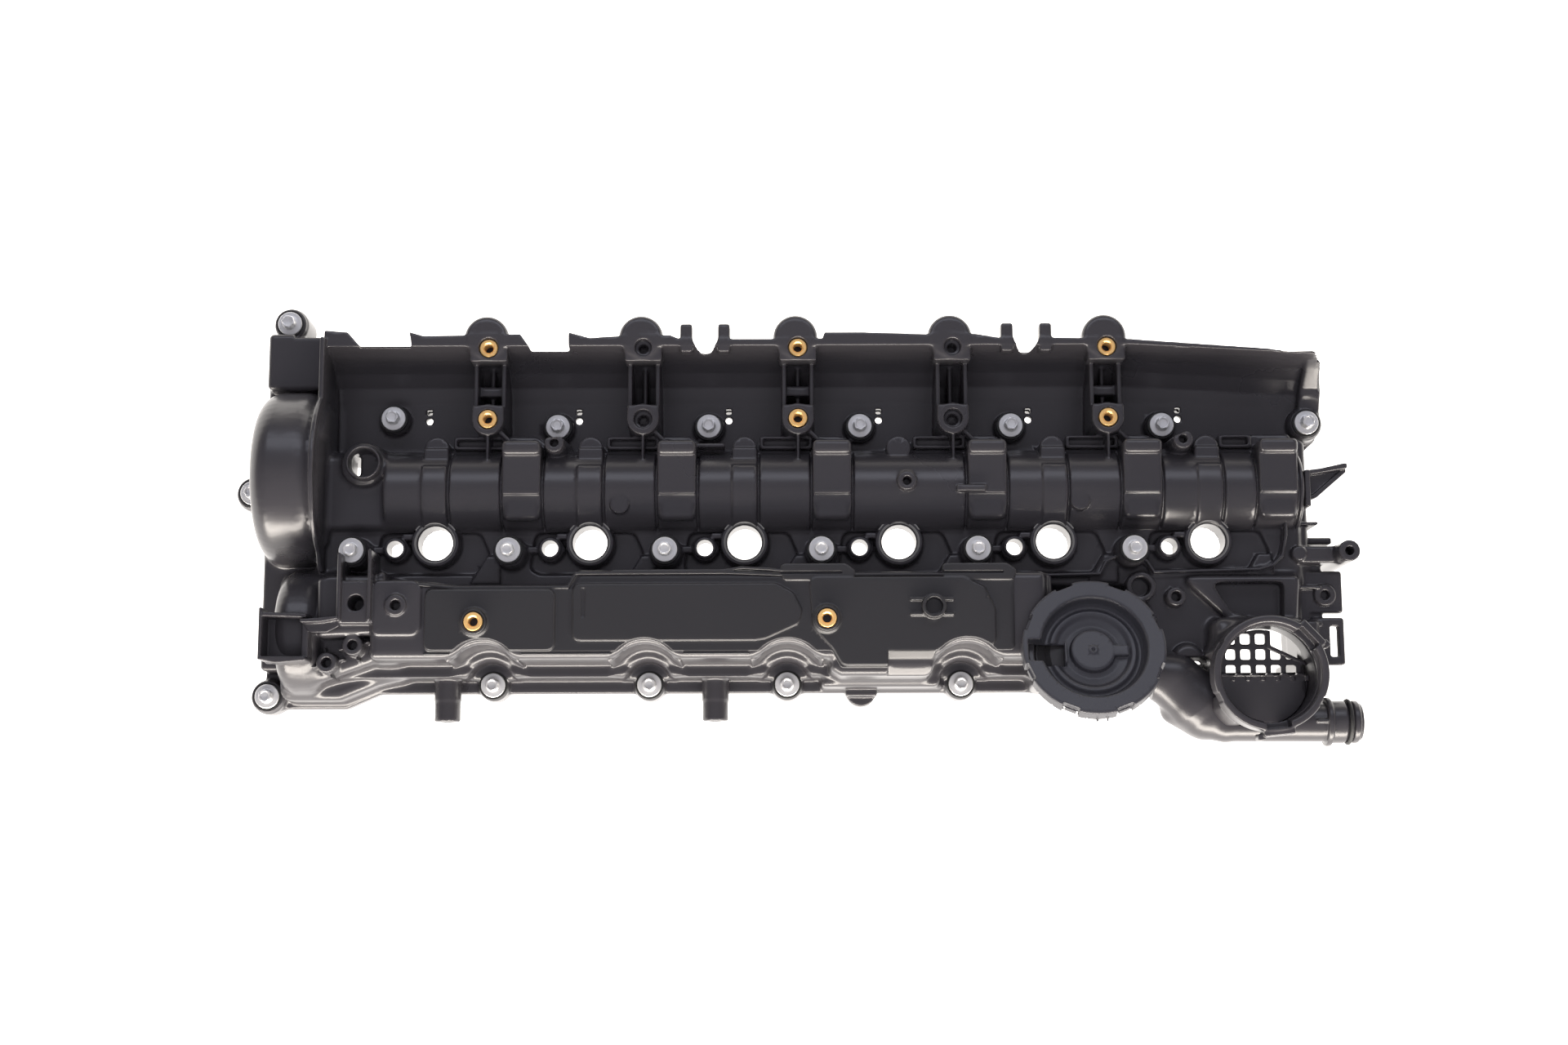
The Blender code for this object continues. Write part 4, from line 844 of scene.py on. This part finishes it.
def make_pipe():
    f = Field((208, -139, 36), (341, -74, 77), 0.65)
    centre = (PIPE_Y, PIPE_Z)
    route = [(216, -91.5, 57.8), (221, -92.5, 57.8), (231, -102.5, 57.6), (238, -110, 57.4),
             (246, -116.5, 57.2), (257, -119.2, 57.0), (312, -119.5, 57.0)]
    for a, b in zip(route, route[1:]):
        f.add(rod(a, b, 11.5), 2)
    for a, b in (((217.5, -91.5, 57.8), (223, -93, 57.8)), ((223, -93, 57.8), (236, -106, 57.4))):
        f.add(rod(a, b, 14.4), 3)
    f.add(rod((230, -93, 59), (243, -108, 56), 13.5, 17.5), 4)
    f.add(rod((243, -108, 56), (247, -113, 55), 17.5, 15.5), 4)
    f.add(rod((229, -112, 50), (245, -120, 52), 8.0, 8.0), 4)
    f.add(drum(0, centre, 11.0, 308, 336.2, edge=1.2), 0.6)
    f.add(drum(0, centre, 14.2, 315, 318.3, edge=0.8), 0.8)
    f.add(drum(0, centre, 12.4, 318, 326.8, edge=0.9), 0.5)
    f.add(drum(0, centre, 12.4, 330.5, 334.2, edge=0.9), 0.4)
    f.add(block((314.6, 318.6), (PIPE_Y - 4, PIPE_Y + 4), (38, 50), 1.2), 1)
    f.add(block((308, 315), (PIPE_Y - 1, PIPE_Y + 1), (44, 70), 0.5), 1)
    for a, b in zip([(206, -91.5, 57.8)] + route[1:], route[1:] + [(345, -119.5, 57)]):
        f.cut(rod(a, b, 9.0), 0)
    f.cut(block((200, 214.4), (-110, -70), (36, 80), 0))
    field_piece("breather_pipe_moulding", f, NYLON, ("breather_pipe",), 0.01)


def make_tray():
    f = Field((-304, -92, 66), (-250, -52, 94), 0.5)
    f.add(block((-300, -298.2), (-84, -54), (74, 91), 0.5))
    f.add(prism("XY", [(-299, -56.6), (-273.4, -57.6), (-272.4, -59), (-273.4, -60), (-299, -59)], 74, 91,
                0.4, 0.8), 0.5)
    f.add(prism("XY", [(-299, -84), (-290, -86), (-273, -84.6), (-272.4, -83), (-274, -82.2), (-299, -82)],
                74, 91, 0.4, 0.8), 0.5)
    f.add(block((-299, -273), (-85, -57), (72, 75), 0.6), 0.8)
    f.add(prism("XY", [(-276.4, -61), (-254.6, -59.2), (-254.6, -60.8), (-264, -62.6), (-276, -63)], 72, 92,
                0.3, 0.8), 0.6)
    f.add(prism("XY", [(-276.4, -61), (-254.6, -59.4), (-255, -64.4), (-262, -68), (-272, -68)], 83.4, 85.2,
                0.5, 2), 0.8)
    f.add(block((-276.6, -272.8), (-84, -57), (72, 84), 0.6), 0.8)
    field_piece("loom_tray", f, NYLON, ("front_cable_bracket",), 0.01)


def make_rear_bracket():
    f = Field((303, 2, 36), (335, 36, 76), 0.5)
    f.add(block((306.3, 309.4), (5.6, 27.5), (40, 72), 0.7))
    f.add(prism("XY", [(308, 10.5), (331.6, 27.2), (331.6, 29.6), (308, 26.5)], 63, 65.2, 0.5, 1), 0.8)
    f.add(prism("XY", [(308, 24.4), (331.6, 28.4), (331.6, 31.6), (329.6, 31.4), (316, 28.4), (308, 27.4)],
                60, 71, 0.5, 1), 0.6)
    f.add(prism("XY", [(308, 9.4), (314, 11.6), (331.8, 26.8), (331.8, 29), (329.6, 28.6), (312.6, 14),
                       (308, 12)], 60, 67, 0.4, 0.8), 0.6)
    field_piece("rear_corner_bracket", f, NYLON, ("rear_bracket",), 0.01)


# ---------------------------------------------------------------- bolts, inserts, seals, carried pieces

def make_bolts():
    def lobed(radius, height, angle):
        """Six lobes on the drive of the head, which is the only part of the bolt between these radii."""
        if not 3.2 < radius < 4.0:
            return radius
        return radius * (1.0 - 0.075 + 0.115 * abs(math.cos(3 * angle)) ** 1.4)

    for i, (x, y, seat) in enumerate(BOLTS):
        base = seat + 0.3
        head = [(0, 6.9), (1.4, 6.9), (2.2, 7.0), (2.6, 7.4), (3.1, 7.5), (3.6, 7.3), (3.8, 6.9), (3.8, 2.2),
                (4.1, 1.75), (4.6, 1.6), (5.6, 1.55), (6.9, 1.5), (7.2, 1.25), (7.2, 0.15), (7.05, 0),
                (3.1, 0)]
        profile = [(r, base + h) for r, h in head]
        z = 22.0
        profile.append((3.0, z))
        while z > 1.6:
            profile += [(3.0, z - 0.35), (2.62, z - 0.6), (2.62, z - 0.75)]
            z -= THREAD_PITCH
        profile += [(2.4, 0.4), (2.0, 0), (0, 0)]
        mesh = to_mesh("flange_bolt", turned(profile, 48, lobed), 34)
        show("flange_bolt_%02d" % (i + 1), mesh, ZINC, ("bolt_%02d" % (i + 1),),
             place=at(x, y, 0, 0.5 + 1.3 * i))
        sleeve = turned([(8.6, seat - 0.6), (8.3, seat + 0.25), (4.3, seat + 0.25), (4.2, seat - 1.5),
                         (8.4, seat - 1.5)], 48)
        show("bolt_grommet_%02d" % (i + 1), to_mesh("grommet", sleeve), SLEEVE, place=at(x, y))


def make_inserts():
    def knurled(radius, height, angle):
        return radius + (0.22 * math.cos(28 * angle) if radius > 5.2 and height < -0.5 else 0.0)

    for i, (x, y, top) in enumerate(PILLAR_INSERTS + LID_INSERTS):
        profile = [(4.95, 0), (5.3, -0.25), (5.35, -0.7), (5.35, -9.8), (3.1, -10), (2.65, -9.5)]
        z = -9.0
        while z < -1.2:
            profile += [(2.95, z), (2.6, z + 0.4), (2.6, z + 0.5)]
            z += THREAD_PITCH
        profile += [(2.7, -0.8), (3.5, 0)]
        shape = turned(profile + [profile[0]], 112, knurled)
        weld(shape)
        show("threaded_insert_%d" % (i + 1), to_mesh("insert", shape), BRASS,
             ("insert_%d" % (i + 1),), place=at(x, y, top))


def make_well_collars():
    """The bevel that the injector slides in over, painted light as a highlight on its rounded edge."""
    lip = [(10.9, 60.8), (10.95, 61.7), (11.8, 62.5), (12.1, 62.45), (12.1, 60.8), (10.9, 60.8)]
    for i, x in enumerate(WELLS):
        shape = turned(lip, 72)
        weld(shape)
        show("well_lip_%d" % (i + 1), to_mesh("well_lip", shape), HIGHLIGHT_NYLON, place=at(x, WELL_Y))


def make_o_ring():
    points = [(12.3 + 1.15 * math.cos(2 * math.pi * i / 12), 1.15 * math.sin(2 * math.pi * i / 12))
              for i in range(13)]
    shape = turned(points, 64)
    weld(shape)
    place = at(328.6, PIPE_Y, PIPE_Z) @ Matrix.Rotation(math.pi / 2, 4, "Y")
    show("pipe_o_ring", to_mesh("o_ring", shape), RUBBER, ("breather_o_ring",), place=place)


def paint_carried():
    """Every CAD node that still shows gets a procedural material of its slot."""
    finishes = {"separator_baffle": NYLON, "pcv_diaphragm": DIAPHRAGM, "pcv_plunger": ACETAL,
                "pcv_spring": SPRING, "perimeter_gasket": RUBBER, "drain_ball": BALL}
    for i in range(6):
        finishes["injector_seal_%d" % (i + 1)] = RUBBER
    for name, finish in finishes.items():
        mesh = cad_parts[name].data
        mesh.materials.clear()
        mesh.materials.append(finish)
        mesh.shade_smooth()
        mesh.set_sharp_from_angle(angle=math.radians(40))


make_shell()
make_deck_rim()
make_well_arcs()
make_lid()
make_cap()
make_neck()
make_screen()
make_pipe()
make_tray()
make_rear_bracket()
make_bolts()
make_inserts()
make_well_collars()
make_o_ring()
paint_carried()


# ---------------------------------------------------------------- camera, light and floor

def place_camera():
    tilt, reach = math.radians(9.0), 1292.0
    target = Vector((0.0, 0.0, 53.0))
    lens = bpy.data.cameras.new("camera")
    lens.lens, lens.sensor_width, lens.clip_end = 50.0, 36.0, 50.0
    made = bpy.data.objects.new("camera", lens)
    made.location = (target + SHIFT + Vector((0.0, -math.sin(tilt), math.cos(tilt))) * reach) * MM
    made.rotation_euler = (tilt, 0.0, math.radians(-0.2))
    bpy.context.scene.collection.objects.link(made)
    bpy.context.scene.camera = made


place_camera()


def light_scene():
    world = bpy.data.worlds.new("studio")
    bpy.context.scene.world = world
    world.use_nodes = True
    nodes, links = world.node_tree.nodes, world.node_tree.links
    nodes.clear()
    place = nodes.new("ShaderNodeTexCoord")
    split = nodes.new("ShaderNodeSeparateXYZ")
    ramp = nodes.new("ShaderNodeValToRGB")
    sky = nodes.new("ShaderNodeBackground")
    out = nodes.new("ShaderNodeOutputWorld")
    ramp.color_ramp.interpolation = "EASE"
    stops = ramp.color_ramp.elements
    stops[1].position, stops[1].color = 0.62, (0.060, 0.059, 0.070, 1.0)
    stops[0].position, stops[0].color = 0.0, (1.0, 0.95, 0.90, 1.0)
    for position, colour in ((0.10, (0.55, 0.51, 0.48)), (0.24, (0.10, 0.096, 0.10))):
        stops.new(position).color = (*colour, 1.0)
    links.new(place.outputs["Generated"], split.inputs["Vector"])
    links.new(split.outputs["Z"], ramp.inputs["Fac"])
    links.new(ramp.outputs["Color"], sky.inputs["Color"])
    sky.inputs["Strength"].default_value = 2.6
    links.new(sky.outputs["Background"], out.inputs["Surface"])

    bpy.ops.mesh.primitive_plane_add(size=6.0, location=(0, 0, -0.002))
    floor = bpy.context.object
    floor.name = "light_table"
    glow = bpy.data.materials.new("white_table")
    glow.use_nodes = True
    glow.node_tree.nodes.clear()
    shine = glow.node_tree.nodes.new("ShaderNodeEmission")
    shine.inputs["Color"].default_value = (1.0, 0.96, 0.92, 1.0)
    shine.inputs["Strength"].default_value = 2.6
    end = glow.node_tree.nodes.new("ShaderNodeOutputMaterial")
    glow.node_tree.links.new(shine.outputs["Emission"], end.inputs["Surface"])
    floor.data.materials.append(glow)

    def softbox(name, place, aim, size, power, colour):
        lamp = bpy.data.lights.new(name, "AREA")
        lamp.shape = "RECTANGLE"
        lamp.size, lamp.size_y = size
        lamp.energy = power
        lamp.color = colour
        made = bpy.data.objects.new(name, lamp)
        made.location = place
        made.rotation_euler = (Vector(aim) - Vector(place)).to_track_quat("-Z", "Y").to_euler()
        bpy.context.scene.collection.objects.link(made)
        return made

    lamps = [
        softbox("back_softbox", (0.0, 1.5, 1.7), (0, 0, 0.05), (2.6, 0.8), 15.0, (0.86, 0.88, 1.0)),
        softbox("front_softbox", (0.0, -1.7, 0.42), (0, 0, 0.05), (3.2, 0.5), 130.0, (1.0, 0.93, 0.85)),
        softbox("overhead_fill", (0.0, -0.45, 1.4), (0, 0, 0.05), (2.0, 1.8), 27.0, (0.98, 0.96, 1.0)),
    ]
    lamps[-1].visible_glossy = False


light_scene()
bpy.context.scene.view_settings.view_transform = "Standard"
bpy.context.scene.view_settings.look = "None"
